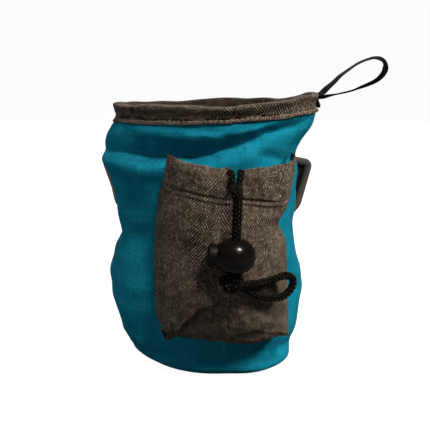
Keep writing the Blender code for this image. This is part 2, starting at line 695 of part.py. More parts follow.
def main():
    for leftover in list(bpy.data.objects):
        bpy.data.objects.remove(leftover)
    canvas = finish("teal_canvas", (0.01, 0.16, 0.21), 0.85)
    tweed = finish("grey_tweed", (0.10, 0.08, 0.065), 0.9)
    cord = finish("black_cord", (0.008, 0.008, 0.008), 0.7)
    webbing = finish("black_webbing", (0.012, 0.012, 0.012), 0.75)
    plastic = finish("black_plastic", (0.012, 0.011, 0.01), 0.3)
    stiffener = finish("white_plastic", (0.7, 0.7, 0.68), 0.4)
    steel = finish("spring_steel", (0.55, 0.55, 0.55), 0.3, 1.0)
    leather = finish("tan_leather", (0.36, 0.2, 0.1), 0.6)

    pocket_hinge = (0.0, -60.6, 27.0)
    make_pouch(canvas, tweed, stiffener)
    make_side_tag(leather)
    make_ribbon(webbing)
    make_pocket(tweed, pocket_hinge)
    left_end, right_end = pocket_x(-0.96, CORD_LEVEL), pocket_x(0.96, CORD_LEVEL)
    make_casing("pocket_casing_left", left_end, SLIT_X - SLIT_HALF, tweed, pocket_hinge)
    make_casing("pocket_casing_right", SLIT_X + SLIT_HALF, right_end, tweed, pocket_hinge)
    make_drawcord("drawcord_left_run", -1, cord, pocket_hinge)
    make_drawcord("drawcord_right_run", 1, cord, pocket_hinge)
    make_knot_and_loop(cord)
    make_cord_lock(plastic, steel)
    make_belt_loops(webbing, cord)
    make_belt(webbing, plastic)


main()
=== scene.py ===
"""Looks of the treat pouch: cloth, cord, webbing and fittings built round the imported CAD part."""

import json
import math

import bmesh
import bpy
import numpy as np
from mathutils import Matrix, Vector

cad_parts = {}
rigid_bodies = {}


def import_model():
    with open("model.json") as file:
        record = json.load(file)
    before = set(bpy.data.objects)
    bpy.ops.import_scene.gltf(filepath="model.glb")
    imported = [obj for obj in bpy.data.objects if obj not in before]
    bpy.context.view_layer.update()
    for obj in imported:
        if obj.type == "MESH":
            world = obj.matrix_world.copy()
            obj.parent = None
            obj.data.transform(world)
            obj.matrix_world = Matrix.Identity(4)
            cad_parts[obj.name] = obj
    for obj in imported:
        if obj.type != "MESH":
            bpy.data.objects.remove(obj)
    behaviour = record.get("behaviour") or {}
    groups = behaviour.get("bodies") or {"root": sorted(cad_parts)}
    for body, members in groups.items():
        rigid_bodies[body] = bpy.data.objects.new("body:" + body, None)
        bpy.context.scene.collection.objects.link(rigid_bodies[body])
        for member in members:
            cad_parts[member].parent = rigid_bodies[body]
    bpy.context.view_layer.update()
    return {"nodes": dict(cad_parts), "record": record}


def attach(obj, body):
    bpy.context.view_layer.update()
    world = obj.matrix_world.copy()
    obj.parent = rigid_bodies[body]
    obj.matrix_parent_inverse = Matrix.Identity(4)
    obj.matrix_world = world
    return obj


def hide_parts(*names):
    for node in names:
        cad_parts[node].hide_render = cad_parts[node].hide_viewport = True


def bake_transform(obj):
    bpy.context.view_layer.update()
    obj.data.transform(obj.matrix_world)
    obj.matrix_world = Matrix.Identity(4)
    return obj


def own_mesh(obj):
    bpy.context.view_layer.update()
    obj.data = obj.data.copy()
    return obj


MM = 0.001

# The CAD's own dimensions, in mm
RIM_TOP, RIM_RISE, RIM_DIP = 170.0, 3.7, 1.3
BAND_FOOT = RIM_TOP - 12.0
BODY_STATIONS = np.array(
    (
        (0.6, 51.0, 50.0, 5.2), (1.7, 53.0, 52.0, 5.2), (5.0, 57.0, 55.0, 4.8), (14.0, 61.2, 58.2, 3.6),
        (30.0, 64.8, 60.0, 1.8), (46.0, 65.6, 60.0, 1.0), (66.0, 62.2, 58.0, 1.0), (86.0, 57.6, 56.2, 2.0),
        (110.0, 59.8, 57.0, 1.5), (122.0, 62.2, 57.6, -0.4), (134.0, 63.8, 58.0, -2.4),
        (142.0, 65.4, 58.0, -1.0), (150.0, 66.6, 58.0, 3.4), (158.0, 66.4, 57.5, 8.0),
        (RIM_TOP, 67.0, 57.0, 12.0),
    )
)
POCKET_STATIONS = np.array(
    (
        (27.0, 39.7, 4.7, 61.0), (34.0, 40.4, 3.9, 68.5), (44.0, 41.1, 2.7, 78.0), (56.0, 41.0, 2.4, 84.5),
        (72.0, 40.9, 2.3, 87.0), (88.0, 39.9, 2.0, 86.6), (98.0, 37.0, 0.2, 85.2), (110.0, 38.7, 3.6, 83.2),
        (118.2, 39.2, 5.8, 81.6), (127.0, 39.5, 7.8, 79.6), (136.0, 39.4, 9.4, 77.5),
    )
)
HEM_RISE = 5.0
SLIT_X = 4.0
POCKET_FOOT, SEAM_LEVEL = 27.0, 117.9
CORD_LEVEL, CORD_RADIUS = 131.0, 2.0
LOCK_CENTRE = np.array((1.4, -97.0, 89.6))
KNOT_CENTRE = LOCK_CENTRE + (-1.6, 1.6, -15.4)
BELT_TILT, BELT_HEIGHT = math.radians(12.0), 115.5

# The cloth wall's columns all round, its radii for the weave and for the slack, and the middle of its base
AROUND = 320
ANGLES = np.linspace(0, 2 * math.pi, AROUND, endpoint=False) - math.pi / 2 + 0.00001
GIRTH_RADIUS, CLOTH_RADIUS = 62.0, 60.0
BASE_MIDDLE = np.array((5.2, 0.0, 0.0))


def unit(v):
    v = np.asarray(v, float)
    return v / np.linalg.norm(v)


CORD_WAY = unit((0.05, 0.0925, 0.9945))
BUTTON_WAY = np.array((-0.966, 0.259, 0.0))
BUTTON_WAY = unit(BUTTON_WAY - BUTTON_WAY.dot(CORD_WAY) * CORD_WAY)
SIDE_WAY = np.cross(CORD_WAY, BUTTON_WAY)


STITCH_SIDES = 6


# ---- Mesh tools ----
def curve_value(stations, height, column):
    """A column of a station table at many heights, on the CAD's smooth curve."""
    heights, values = stations[:, 0], stations[:, column]
    slopes = np.gradient(values, heights)
    at = np.clip(height, heights[0], heights[-1])
    i = np.clip(np.searchsorted(heights, at) - 1, 0, len(heights) - 2)
    span = heights[i + 1] - heights[i]
    t = (at - heights[i]) / span
    return (
        (1 + 2 * t) * (1 - t) ** 2 * values[i]
        + t * (1 - t) ** 2 * span * slopes[i]
        + t * t * (3 - 2 * t) * values[i + 1]
        + t * t * (t - 1) * span * slopes[i + 1]
    )


def curve_values(stations, height, columns=(1, 2, 3)):
    return [curve_value(stations, height, column) for column in columns]


def smooth_step(t):
    t = np.clip(t, 0.0, 1.0)
    return t * t * (3 - 2 * t)


def bump_at(x, middle, width):
    return np.exp(-(((x - middle) / width) ** 2))


def waves(seed, count, x, y, shortest, longest):
    """Smooth noise of about unit size: a sum of plane waves over two coordinates in mm."""
    random = np.random.default_rng(seed)
    total = np.zeros(np.broadcast(x, y).shape)
    for _ in range(count):
        length = shortest * (longest / shortest) ** random.random()
        turn, phase = random.random(2) * 2 * math.pi
        total += np.sin(2 * math.pi / length * (x * math.cos(turn) + y * math.sin(turn)) + phase)
    return total / math.sqrt(count / 2)


def linked(name, data):
    made = bpy.data.objects.new(name, data)
    bpy.context.scene.collection.objects.link(made)
    return made


def clean_faces(mesh, weld=0.0, extra=()):
    """Turns all faces outwards, after welding points that are nearer than weld and adding extra faces."""
    bm = bmesh.new()
    bm.from_mesh(mesh)
    if weld:
        bmesh.ops.remove_doubles(bm, verts=bm.verts, dist=weld)
    bm.verts.ensure_lookup_table()
    for face in extra:
        bm.faces.new([bm.verts[k] for k in face])
    bmesh.ops.recalc_face_normals(bm, faces=bm.faces)
    bm.to_mesh(mesh)
    bm.free()


def mesh_object(name, points, faces, uvs=None, smooth=True):
    """An object from points in mm. uvs gives each point's place on the cloth, in metres."""
    mesh = bpy.data.meshes.new(name)
    mesh.from_pydata((np.asarray(points, float) * MM).tolist(), [], [tuple(map(int, f)) for f in faces])
    if uvs is not None:
        layer = mesh.uv_layers.new(name="UVMap")
        loops = np.zeros(len(mesh.loops), np.int32)
        mesh.loops.foreach_get("vertex_index", loops)
        layer.data.foreach_set("uv", np.asarray(uvs, float)[loops].ravel())
    mesh.update()
    clean_faces(mesh)
    if smooth:
        mesh.shade_smooth()
    return linked(name, mesh)


def grid_faces(rows, columns, wrap_rows, wrap_columns, start=0):
    i = np.arange(rows if wrap_rows else rows - 1)
    j = np.arange(columns if wrap_columns else columns - 1)
    i, j = np.meshgrid(i, j, indexing="ij")
    k, m = (i + 1) % rows, (j + 1) % columns
    quads = np.stack((i * columns + j, i * columns + m, k * columns + m, k * columns + j), -1)
    return (quads.reshape(-1, 4) + start).tolist()


def cloth_uvs(u, v):
    """UVs in metres from two grids of lengths in mm."""
    return np.stack((u, v), -1).reshape(-1, 2) * MM


def grid_uvs(u, v):
    return cloth_uvs(*np.meshgrid(u, v, indexing="ij"))


def summed(steps):
    """Lengths from the start, given the length of each step."""
    return np.concatenate(([0], np.cumsum(steps)))


def end_caps(rows, columns):
    return [tuple(range(columns)), tuple((rows - 1) * columns + k for k in range(columns))]


def grid_object(name, grid, wrap_rows=False, caps=False):
    """A surface through closed rings of points in mm. Its UVs are mean lengths along and round it."""
    rows, columns = grid.shape[:2]
    faces = grid_faces(rows, columns, wrap_rows, True)
    if caps:
        faces += end_caps(rows, columns)
    along = np.linalg.norm(np.diff(grid, axis=0), axis=2).mean(axis=1)
    across = np.linalg.norm(np.diff(grid, axis=1), axis=2).mean(axis=0)
    return mesh_object(name, grid.reshape(-1, 3), faces, grid_uvs(summed(along), summed(across)))


def capped(name, grid):
    """A grid object whose first and last rings are closed."""
    return grid_object(name, grid, caps=True)


def joined(name, objects):
    """One object from several."""
    bm = bmesh.new()
    for obj in objects:
        bm.from_mesh(obj.data)
        mesh = obj.data
        bpy.data.objects.remove(obj)
        bpy.data.meshes.remove(mesh)
    mesh = bpy.data.meshes.new(name)
    bm.to_mesh(mesh)
    bm.free()
    mesh.shade_smooth()
    return linked(name, mesh)


def dress(piece, material, node=None, body="pouch"):
    """Gives a piece its material and the body it rides on, and hides the CAD node it stands for."""
    piece.data.materials.append(material)
    if body:
        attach(piece, body)
    if node:
        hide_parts(node)


def blend_along(piece):
    """Bakes a piece's transform into its mesh."""
    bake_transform(piece)


def apply_modifiers(obj):
    graph = bpy.context.evaluated_depsgraph_get()
    mesh = bpy.data.meshes.new_from_object(obj.evaluated_get(graph))
    obj.modifiers.clear()
    old = obj.data
    obj.data = mesh
    bpy.data.meshes.remove(old)


def add_modifier(obj, kind, **settings):
    modifier = obj.modifiers.new(kind.lower(), kind)
    for key, value in settings.items():
        setattr(modifier, key, value)


def round_edges(obj, width, angle):
    limit = math.radians(angle)
    add_modifier(obj, "BEVEL", width=width * MM, segments=2, limit_method="ANGLE", angle_limit=limit)


def curve_through(points, spacing):
    """Evenly spaced points on a Catmull-Rom curve through the given points."""
    points = np.asarray(points, float)
    padded = np.concatenate(([2 * points[0] - points[1]], points, [2 * points[-1] - points[-2]]))
    dense = []
    t = np.linspace(0, 1, 24, endpoint=False)[:, None]
    for a, b, c, d in zip(padded, padded[1:], padded[2:], padded[3:]):
        dense.append(
            0.5 * (2 * b + (c - a) * t + (2 * a - 5 * b + 4 * c - d) * t**2 + (3 * b - a - 3 * c + d) * t**3)
        )
    dense = np.concatenate(dense + [points[-1:]])
    return respaced(dense, spacing)


def step_sums(path):
    return summed(np.linalg.norm(np.diff(path, axis=0), axis=1))


def respaced(dense, spacing):
    length = step_sums(dense)
    count = max(2, int(round(length[-1] / spacing)) + 1)
    at = np.linspace(0, length[-1], count)
    return np.stack([np.interp(at, length, dense[:, k]) for k in range(3)], 1)


def full_turn(count):
    return np.linspace(0, 2 * math.pi, count, endpoint=False)


def path_ways(path):
    """The direction at each point of a path."""
    ways = np.gradient(path, axis=0)
    return ways / np.linalg.norm(ways, axis=1)[:, None]


def path_sides(path):
    """Two cross directions at each point of a path, without twist."""
    ways = path_ways(path)
    side = np.array((0.31, 0.2, 0.93))
    sides = []
    for way in ways:
        side = side - side.dot(way) * way
        side = side / np.linalg.norm(side)
        sides.append(side)
    sides = np.array(sides)
    return sides, np.cross(ways, sides)


def tube(path, size, count):
    """Rings round a path. The size is one number, or one for each point of the grid."""
    sides, others = path_sides(path)
    turns = full_turn(count)[None, :, None]
    return path[:, None] + size * (np.cos(turns) * sides[:, None] + np.sin(turns) * others[:, None])


# ---- Materials ----
class Shader:
    """A small builder for node materials."""

    def __init__(self, name, roughness=0.6, metallic=0.0, specular=0.5):
        self.material = bpy.data.materials.new(name)
        self.material.use_nodes = True
        self.tree = self.material.node_tree
        self.bsdf = self.tree.nodes["Principled BSDF"]
        self.object_place = None
        settings = {"Roughness": roughness, "Metallic": metallic, "Specular IOR Level": specular}
        for key, value in settings.items():
            self.bsdf.inputs[key].default_value = value

    def node(self, kind, **inputs):
        made = self.tree.nodes.new("ShaderNode" + kind)
        for key, value in inputs.items():
            setattr(made, key, value)
        return made

    def put(self, socket, value):
        """Joins a socket to another, or gives it a value. A colour may come without its alpha."""
        if isinstance(value, bpy.types.NodeSocket):
            self.tree.links.new(value, socket)
        elif socket.type == "RGBA" and len(value) == 3:
            socket.default_value = (*value, 1.0)
        else:
            socket.default_value = value

    def math(self, operation, a, b=0.0):
        made = self.node("Math", operation=operation)
        for socket, value in zip(made.inputs, (a, b)):
            self.put(socket, value)
        return made.outputs[0]

    def add(self, a, b):
        return self.math("ADD", a, b)

    def sub(self, a, b):
        return self.math("SUBTRACT", a, b)

    def mul(self, a, b):
        return self.math("MULTIPLY", a, b)

    def div(self, a, b):
        return self.math("DIVIDE", a, b)

    def power(self, a, b):
        return self.math("POWER", a, b)

    def size(self, a):
        return self.math("ABSOLUTE", a)

    def sine(self, a):
        return self.math("SINE", a)

    def sines(self, a):
        """A wave that crosses zero at each whole number."""
        return self.sine(self.mul(a, math.pi))

    def uv(self):
        """The cloth's own coordinates, in metres."""
        made = self.node("UVMap")
        split = self.node("SeparateXYZ")
        self.put(split.inputs[0], made.outputs[0])
        return split.outputs[0], split.outputs[1]

    @property
    def place(self):
        """The object's own coordinates, from one node that is made when it is first asked for."""
        if self.object_place is None:
            self.object_place = self.node("TexCoord").outputs["Object"]
        return self.object_place

    def noise(self, vector, scale, detail=2.0, roughness=0.5, stretch=None):
        if stretch:
            mapping = self.node("Mapping")
            self.put(mapping.inputs["Vector"], vector)
            mapping.inputs["Scale"].default_value = stretch
            vector = mapping.outputs[0]
        made = self.node("TexNoise")
        self.put(made.inputs["Vector"], vector)
        made.inputs["Scale"].default_value = scale
        made.inputs["Detail"].default_value = detail
        made.inputs["Roughness"].default_value = roughness
        return made.outputs[0]

    def cell(self, a, b, seed=0.0):
        """A random number for each whole pair of a and b."""
        join = self.node("CombineXYZ")
        self.put(join.inputs[0], self.math("FLOOR", a))
        self.put(join.inputs[1], self.math("FLOOR", b))
        join.inputs[2].default_value = seed
        made = self.node("TexWhiteNoise")
        self.put(made.inputs["Vector"], join.outputs[0])
        return made.outputs["Value"]

    def combine(self, x, y, z=0.0):
        join = self.node("CombineXYZ")
        for socket, value in zip(join.inputs, (x, y, z)):
            self.put(socket, value)
        return join.outputs[0]

    def ramp(self, factor, stops):
        made = self.node("ValToRGB")
        elements = made.color_ramp.elements
        while len(elements) < len(stops):
            elements.new(0.5)
        for element, (place, colour) in zip(elements, stops):
            element.position = place
            element.color = (*colour, 1.0)
        self.put(made.inputs[0], factor)
        return made.outputs[0]

    def mix(self, factor, a, b, kind="MIX"):
        made = self.node("Mix", data_type="RGBA", blend_type=kind)
        made.clamp_factor = True
        self.put(made.inputs[0], factor)
        for socket, value in zip((k for k in made.inputs if k.type == "RGBA"), (a, b)):
            self.put(socket, value)
        return next(k for k in made.outputs if k.type == "RGBA")

    def shaded(self, colour, shade):
        return self.mix(1.0, colour, self.combine(shade, shade, shade), "MULTIPLY")

    def grain(self, scale, detail, roughness, distance, strength, over=None):
        """A bump from noise over the object."""
        return self.bump(self.noise(self.place, scale, detail, roughness), distance, strength, over)

    def remap(self, value, low, high, to_low=0.0, to_high=1.0):
        made = self.node("MapRange")
        for socket, number in zip(made.inputs, (value, low, high, to_low, to_high)):
            self.put(socket, number)
        return made.outputs[0]

    def bump(self, height, distance, strength=1.0, over=None):
        made = self.node("Bump")
        made.inputs["Strength"].default_value = strength
        made.inputs["Distance"].default_value = distance
        self.put(made.inputs["Height"], height)
        if over is not None:
            self.put(made.inputs["Normal"], over)
        return made.outputs[0]

    def finish(self, colour, normal=None, roughness=None, sheen=0.0, sheen_tint=(1, 1, 1)):
        inputs = self.bsdf.inputs
        self.put(inputs["Base Color"], colour)
        if normal is not None:
            self.put(inputs["Normal"], normal)
        if roughness is not None:
            self.put(inputs["Roughness"], roughness)
        self.put(inputs["Sheen Weight"], sheen)
        self.put(inputs["Sheen Roughness"], 0.4)
        self.put(inputs["Sheen Tint"], sheen_tint)
        return self.material


def canvas_material():
    """Teal plain-weave canvas: fine crossing yarns, faint flecks and a slightly worn, uneven dye."""
    s = Shader("teal_canvas_cloth", roughness=0.85, specular=0.06)
    u, v = s.uv()
    yarn = 0.00062
    a, b = s.div(u, yarn), s.div(v, yarn)
    warp = s.sines(a)
    weft = s.sines(b)
    weave = s.mul(warp, weft)
    ribs = s.size(warp)
    ribs_across = s.size(weft)
    over = s.remap(weave, -0.4, 0.4)
    height = s.node("Mix", data_type="FLOAT")
    s.put(height.inputs[0], over)
    s.put(height.inputs[2], ribs)
    s.put(height.inputs[3], ribs_across)
    height = height.outputs[0]
    lengthwise = s.cell(a, s.mul(b, 0.08), 1.0)
    crosswise = s.cell(s.mul(a, 0.08), b, 7.0)
    yarn_tone = s.add(s.mul(lengthwise, 0.5), s.mul(crosswise, 0.5))
    slub = s.noise(s.combine(s.mul(u, 0.35), s.mul(v, 1.6)), 1400, 2)
    cloud = s.noise(s.place, 28, 4, 0.6)
    fade = s.noise(s.place, 9, 3, 0.55)
    tone = s.add(s.mul(yarn_tone, 0.35), s.mul(cloud, 0.4))
    tone = s.add(tone, s.mul(slub, 0.25))
    dyes = ((0.3, (0.0025, 0.118, 0.185)), (0.5, (0.004, 0.165, 0.25)), (0.72, (0.009, 0.215, 0.31)))
    colour = s.ramp(tone, dyes)
    colour = s.mix(s.remap(fade, 0.45, 0.75, 0.0, 0.12), colour, (0.01, 0.2, 0.27))
    # The weave's hollows are painted darker and its crowns a little lighter: painted shade and highlight on
    # the yarns
    colour = s.shaded(colour, s.remap(height, 0.0, 0.9, 0.72, 1.08))
    normal = s.bump(height, 0.00016, 0.75)
    normal = s.grain(420, 3, 0.5, 0.0003, 0.35, over=normal)
    return s.finish(colour, normal)


def tweed_material(name, gain):
    """Brown-grey marled plain weave: light yarns one way, dark ones the other, and painted shade in the gaps.
    A gain below 1 makes a darker copy, painted shade for dim places.
    """
    s = Shader(name, roughness=0.9, specular=0.08)
    u, v = s.uv()
    sway = s.noise(s.place, 70, 2)
    a = s.add(s.div(u, 0.00092), s.mul(sway, 3.6))
    b = s.div(v, 0.00084)
    warp = s.sines(a)
    weft = s.sines(b)
    weave = s.mul(warp, weft)
    height = s.power(s.size(weave), 0.55)
    light = s.remap(weave, -0.12, 0.12)
    spun = s.cell(a, b, 3.0)
    along = s.cell(a, s.mul(b, 0.12), 11.0)
    across = s.cell(s.mul(a, 0.1), b, 5.0)
    slub = s.noise(s.combine(s.mul(u, 2.6), s.mul(v, 0.7)), 420, 3)
    cloud = s.noise(s.place, 60, 4, 0.6)
    tone = s.add(s.mul(spun, 0.36), s.mul(slub, 0.14))
    tone = s.add(tone, s.mul(s.add(along, across), 0.12))
    tone = s.add(tone, s.add(s.mul(cloud, 0.08), 0.09))
    pales = ((0.25, (0.08, 0.062, 0.046)), (0.5, (0.22, 0.174, 0.132)), (0.75, (0.56, 0.46, 0.36)))
    pale = s.ramp(tone, pales)
    dark = s.ramp(tone, ((0.25, (0.008, 0.006, 0.0045)), (0.75, (0.036, 0.028, 0.021))))
    colour = s.mix(light, dark, pale)
    # The gaps between yarns are painted dark and the crowns a little lighter: painted shade and highlight;
    # the gain darkens it all
    colour = s.shaded(colour, s.remap(height, 0.2, 0.95, 0.02 * gain, 1.08 * gain))
    normal = s.bump(height, 0.00026, 0.8)
    normal = s.grain(900, 3, 0.7, 0.0002, 0.4, over=normal)
    return s.finish(colour, normal, sheen=0.04, sheen_tint=(0.9, 0.8, 0.7))


def cord_material():
    """Black braided cord: fine filaments along each strand, and painted highlights on the strands' crowns."""
    s = Shader("black_cord_yarn", roughness=0.3, specular=0.07)
    u, v = s.uv()
    fine = s.add(s.sine(s.mul(s.add(u, v), 26000)), s.sine(s.mul(s.sub(u, v), 26000)))
    normal = s.bump(fine, 0.00006, 0.4)
    normal = s.grain(1500, 2, 0.5, 0.00015, 0.4, over=normal)
    # The strands' tops are painted lighter than the gaps between them: painted highlights for the braid's
    # glints
    painted_glint_crown = s.node("Attribute", attribute_name="strand").outputs["Fac"]
    tone = s.mul(s.power(painted_glint_crown, 9.0), s.remap(s.noise(s.place, 700, 2), 0.3, 0.7, 0.3, 1.2))
    colour = s.ramp(tone, ((0.1, (0.0012, 0.0010, 0.0008)), (0.95, (0.075, 0.067, 0.06))))
    return s.finish(colour, normal)


def webbing_material():
    """Black webbing: rows of slanted floats along the strap."""
    s = Shader("black_webbing_weave", roughness=0.62, specular=0.4)
    u, v = s.uv()
    pitch = 0.0011
    a, b = s.div(u, pitch), s.div(v, pitch)
    row = s.math("PINGPONG", s.math("FLOOR", b), 1.0)
    slanted = s.add(a, s.mul(s.sub(s.mul(row, 2.0), 1.0), b))
    across = s.size(s.sines(b))
    floats = s.remap(s.sines(slanted), -1, 1, 0.35, 1.0)
    height = s.mul(s.power(across, 0.5), floats)
    # Random tone, with the floats' tops painted lighter than their hollows: painted highlight and shade
    tone_and_painted_float_shade = s.add(s.mul(s.noise(s.place, 300, 3), 0.6), s.mul(height, 0.4))
    colour = s.ramp(tone_and_painted_float_shade, ((0.25, (0.006, 0.00576, 0.00552)), (0.8, (0.02, 0.0192, 0.0184))))
    return s.finish(colour, s.bump(height, 0.0003, 0.8), sheen=0.15, sheen_tint=(0.5, 0.5, 0.5))


def ribbon_material():
    """Black grosgrain: close ribs across the ribbon."""
    s = Shader("black_grosgrain", roughness=0.8, specular=0.06)
    u = s.uv()[0]
    rib = s.size(s.sine(s.div(u, 0.00024)))
    # Random tone, with the ribs' crests painted lighter than their hollows: painted highlight and shade
    tone = s.add(s.mul(s.noise(s.place, 400, 2), 0.5), s.mul(rib, 0.5))
    colour = s.ramp(tone, ((0.2, (0.0015, 0.0015, 0.0015)), (0.85, (0.005, 0.0046, 0.0043))))
    return s.finish(colour, s.bump(rib, 0.00018, 0.8))


def plastic_material(name, colour, roughness, grain, specular=0.5):
    """Moulded plastic: faint surface grain, fine scratches and a slight change of gloss."""
    s = Shader(name, roughness=roughness, specular=specular)
    patch = s.noise(s.place, 90, 4, 0.6)
    scratch = s.noise(s.place, 700, 2, 0.5, stretch=(1.0, 0.15, 1.0))
    worn = s.remap(patch, 0.3, 0.7, roughness - 0.05, roughness + 0.07)
    gloss = s.add(worn, s.remap(scratch, 0.55, 0.75, 0.0, 0.06))
    low = tuple(c * 0.75 for c in colour)
    tinted = s.mix(patch, low, colour)
    return s.finish(tinted, s.grain(1600, 3, 0.6, 0.00008, grain), roughness=gloss)


def thread_material(name, colour):
    """Twisted sewing thread."""
    s = Shader(name, roughness=0.6, specular=0.35)
    twist = s.noise(s.place, 2600, 2, 0.5, stretch=(1.0, 1.0, 2.5))
    low = tuple(c * 0.6 for c in colour)
    tinted = s.mix(s.remap(twist, 0.3, 0.7), low, colour)
    tint = tuple(min(1, c * 3) for c in colour)
    return s.finish(tinted, s.bump(twist, 0.0001, 0.6), sheen=0.3, sheen_tint=tint)


def leather_material():
    """Undyed leather: pebbled grain, stained and darker in its pores."""
    s = Shader("tan_leather_grain", roughness=0.6, specular=0.35)
    pebbles = s.node("TexVoronoi")
    pebbles.feature = "SMOOTH_F1"
    s.put(pebbles.inputs["Vector"], s.place)
    pebbles.inputs["Scale"].default_value = 1300
    cells = pebbles.outputs["Distance"]
    stain = s.noise(s.place, 160, 4, 0.6)
    tone = s.add(s.mul(stain, 0.7), s.mul(cells, 0.3))
    tans = ((0.25, (0.30, 0.155, 0.075)), (0.5, (0.42, 0.24, 0.13)), (0.8, (0.55, 0.36, 0.22)))
    colour = s.ramp(tone, tans)
    return s.finish(colour, s.bump(cells, 0.0002, 0.5))


def steel_material():
    """Drawn spring wire."""
    s = Shader("spring_wire", roughness=0.28, metallic=1.0)
    drawn = s.noise(s.place, 900, 2, 0.5, stretch=(0.1, 1.0, 1.0))
    gloss = s.remap(drawn, 0.3, 0.7, 0.2, 0.38)
    return s.finish((0.6, 0.6, 0.62), s.bump(drawn, 0.0001, 0.3), roughness=gloss)


# ---- The pouch's surface ----
# The buckled fold across the front: sideways place, height, how deep the cloth goes in, and how far
# the fold reaches up
FOLD = np.array(
    (
        (-78.0, 139.0, 2.0, 14.0), (-66.0, 138.6, 6.5, 15.5), (-56.0, 138.0, 10.0, 16.0),
        (-46.0, 137.4, 12.0, 15.5), (-30.0, 136.8, 13.0, 14.5), (-14.0, 137.4, 12.5, 12.5),
        (-2.0, 139.6, 10.0, 9.5), (12.0, 144.0, 8.0, 7.5), (28.0, 149.2, 5.4, 5.5), (44.0, 152.6, 3.0, 4.5),
        (60.0, 155.0, 0.8, 4.0), (80.0, 156.0, 0.0, 4.0),
    )
)
# Smaller folds on the front: both ends, width and depth. A negative depth stands out.
CREASES = (
    (-64, 128, -40, 112, 4.0, 0.7), (-58, 70, -44, 92, 4.5, 0.9), (-60, 44, -42, 60, 4.0, -0.8),
    (-56, 26, -36, 18, 4.5, 0.9), (-30, 9, 6, 20, 4.0, -0.7), (14, 22, 48, 10, 4.5, 0.9),
    (46, 62, 60, 40, 5.0, 1.0), (20, 140, 52, 131, 3.0, 1.3), (8, 150, 36, 156, 2.4, -0.7),
    (-40, 152, -12, 147, 2.6, -0.9), (-20, 156, 6, 152, 2.2, 0.7),
)
# The same on the back, where the belt pulls the cloth in
BACK_CREASES = (
    (-50, 150, -20, 140, 5.0, 1.6), (-10, 152, 30, 147, 5.0, 1.4), (25, 140, 55, 150, 4.5, 1.5),
    (-40, 84, -10, 72, 5.0, 1.4), (12, 66, 44, 80, 5.0, 1.3), (-52, 50, -30, 38, 5.0, -1.1),
    (-20, 30, 24, 36, 6.0, 1.2), (30, 28, 56, 44, 5.0, -1.1),
)


def crease(x, z, x0, z0, x1, z1, width):
    """How near each point is to a line, from 0 to 1, fading towards the line's ends."""
    dx, dz = x1 - x0, z1 - z0
    t = np.clip(((x - x0) * dx + (z - z0) * dz) / (dx * dx + dz * dz), 0, 1)
    away = np.hypot(x - x0 - t * dx, z - z0 - t * dz)
    return np.exp(-((away / width) ** 2)) * (1 - 0.8 * (2 * t - 1) ** 2)


def add_creases(total, creases, x, z, share=1.0):
    """Adds a table of creases to a depth in mm."""
    for x0, z0, x1, z1, width, depth in creases:
        total = total + depth * share * crease(x, z, x0, z0, x1, z1, width)
    return total


def dent(angle, level):
    """How far the cloth goes in from the plain wall, in mm. It fades out at the rim's seam."""
    half_width, lean = curve_values(BODY_STATIONS, level, (1, 3))
    x = lean + half_width * np.cos(angle)
    around = angle * CLOTH_RADIUS
    front = smooth_step((-np.sin(angle) + 0.3) / 0.5)
    fold_z, fold_in, reach = (np.interp(x, FOLD[:, 0], FOLD[:, k]) for k in (1, 2, 3))
    fold_z = fold_z + 0.5 * np.sin(x * 0.21 + 1.0) + 0.35 * np.sin(x * 0.47)
    away = level - fold_z
    above = np.clip(1 - np.maximum(away, 0) / (1.15 * reach), 0, 1) ** 1.2
    below = np.exp(-((np.maximum(-away, 0) / 3.0) ** 1.6))
    total = fold_in * front * np.where(away > 0, above, below)
    # The cloth bellies out under the fold
    total -= 1.5 * front * smooth_step(fold_in / 6.0) * bump_at(away, -8.0, 6.0)
    total = add_creases(total, CREASES, x, level, front)
    # The nip at the right side, and the slack bulge at the left one
    right = np.maximum(np.cos(angle), 0) ** 3
    left = np.maximum(-np.cos(angle), 0) ** 2
    total += 1.3 * right * bump_at(level, 136.0, 6.0)
    total -= 0.8 * left * bump_at(level, 148.0, 8.0)
    total -= 3.3 * left * bump_at(level, 98.0, 12.0)
    total -= 1.2 * right * bump_at(level, 150.0, 5.0)
    total = add_creases(total, BACK_CREASES, x, level, smooth_step((np.sin(angle) + 0.1) / 0.5))
    # Broad slack in the lower half, its creases, and the gathers under the rim
    total += 0.8 * waves(11, 14, around, level * 1.1, 40.0, 90.0) * smooth_step((150 - level) / 40)
    total += 0.2 * waves(12, 16, around, level * 0.8, 14.0, 30.0)
    gather = smooth_step((level - 138) / 24)
    total += 0.32 * gather * waves(13, 10, around, level * 0.15, 7.0, 15.0)
    total += 0.15 * waves(14, 12, around * 0.5, level, 9.0, 18.0) * bump_at(level, 60, 45)
    held = smooth_step((BAND_FOOT + 2 - level) / 6.0) * smooth_step((level - 0.5) / 9.0)
    # The base's corners, and the lowest part of the front, which stands out
    low = 2.2 * left * bump_at(level, 24.0, 11.0) + 4.4 * left * smooth_step((20 - level) / 14)
    low_right = right * (1.8 * bump_at(level, 20.0, 9.0) + 5.4 * bump_at(level, 8.0, 7.0))
    low += low_right - 2.4 * left * bump_at(level, 6.5, 4.5)
    low_front = 1.6 * smooth_step((12 - level) / 9) + 2.8 * bump_at(level, 6.5, 5.5)
    low -= bump_at(np.sin(angle), -1.0, 0.35) * low_front
    corner = bump_at(np.cos(angle + math.radians(58)), 1.0, 0.1)
    return total * held + low - 5.0 * corner * smooth_step((11 - level) / 8)


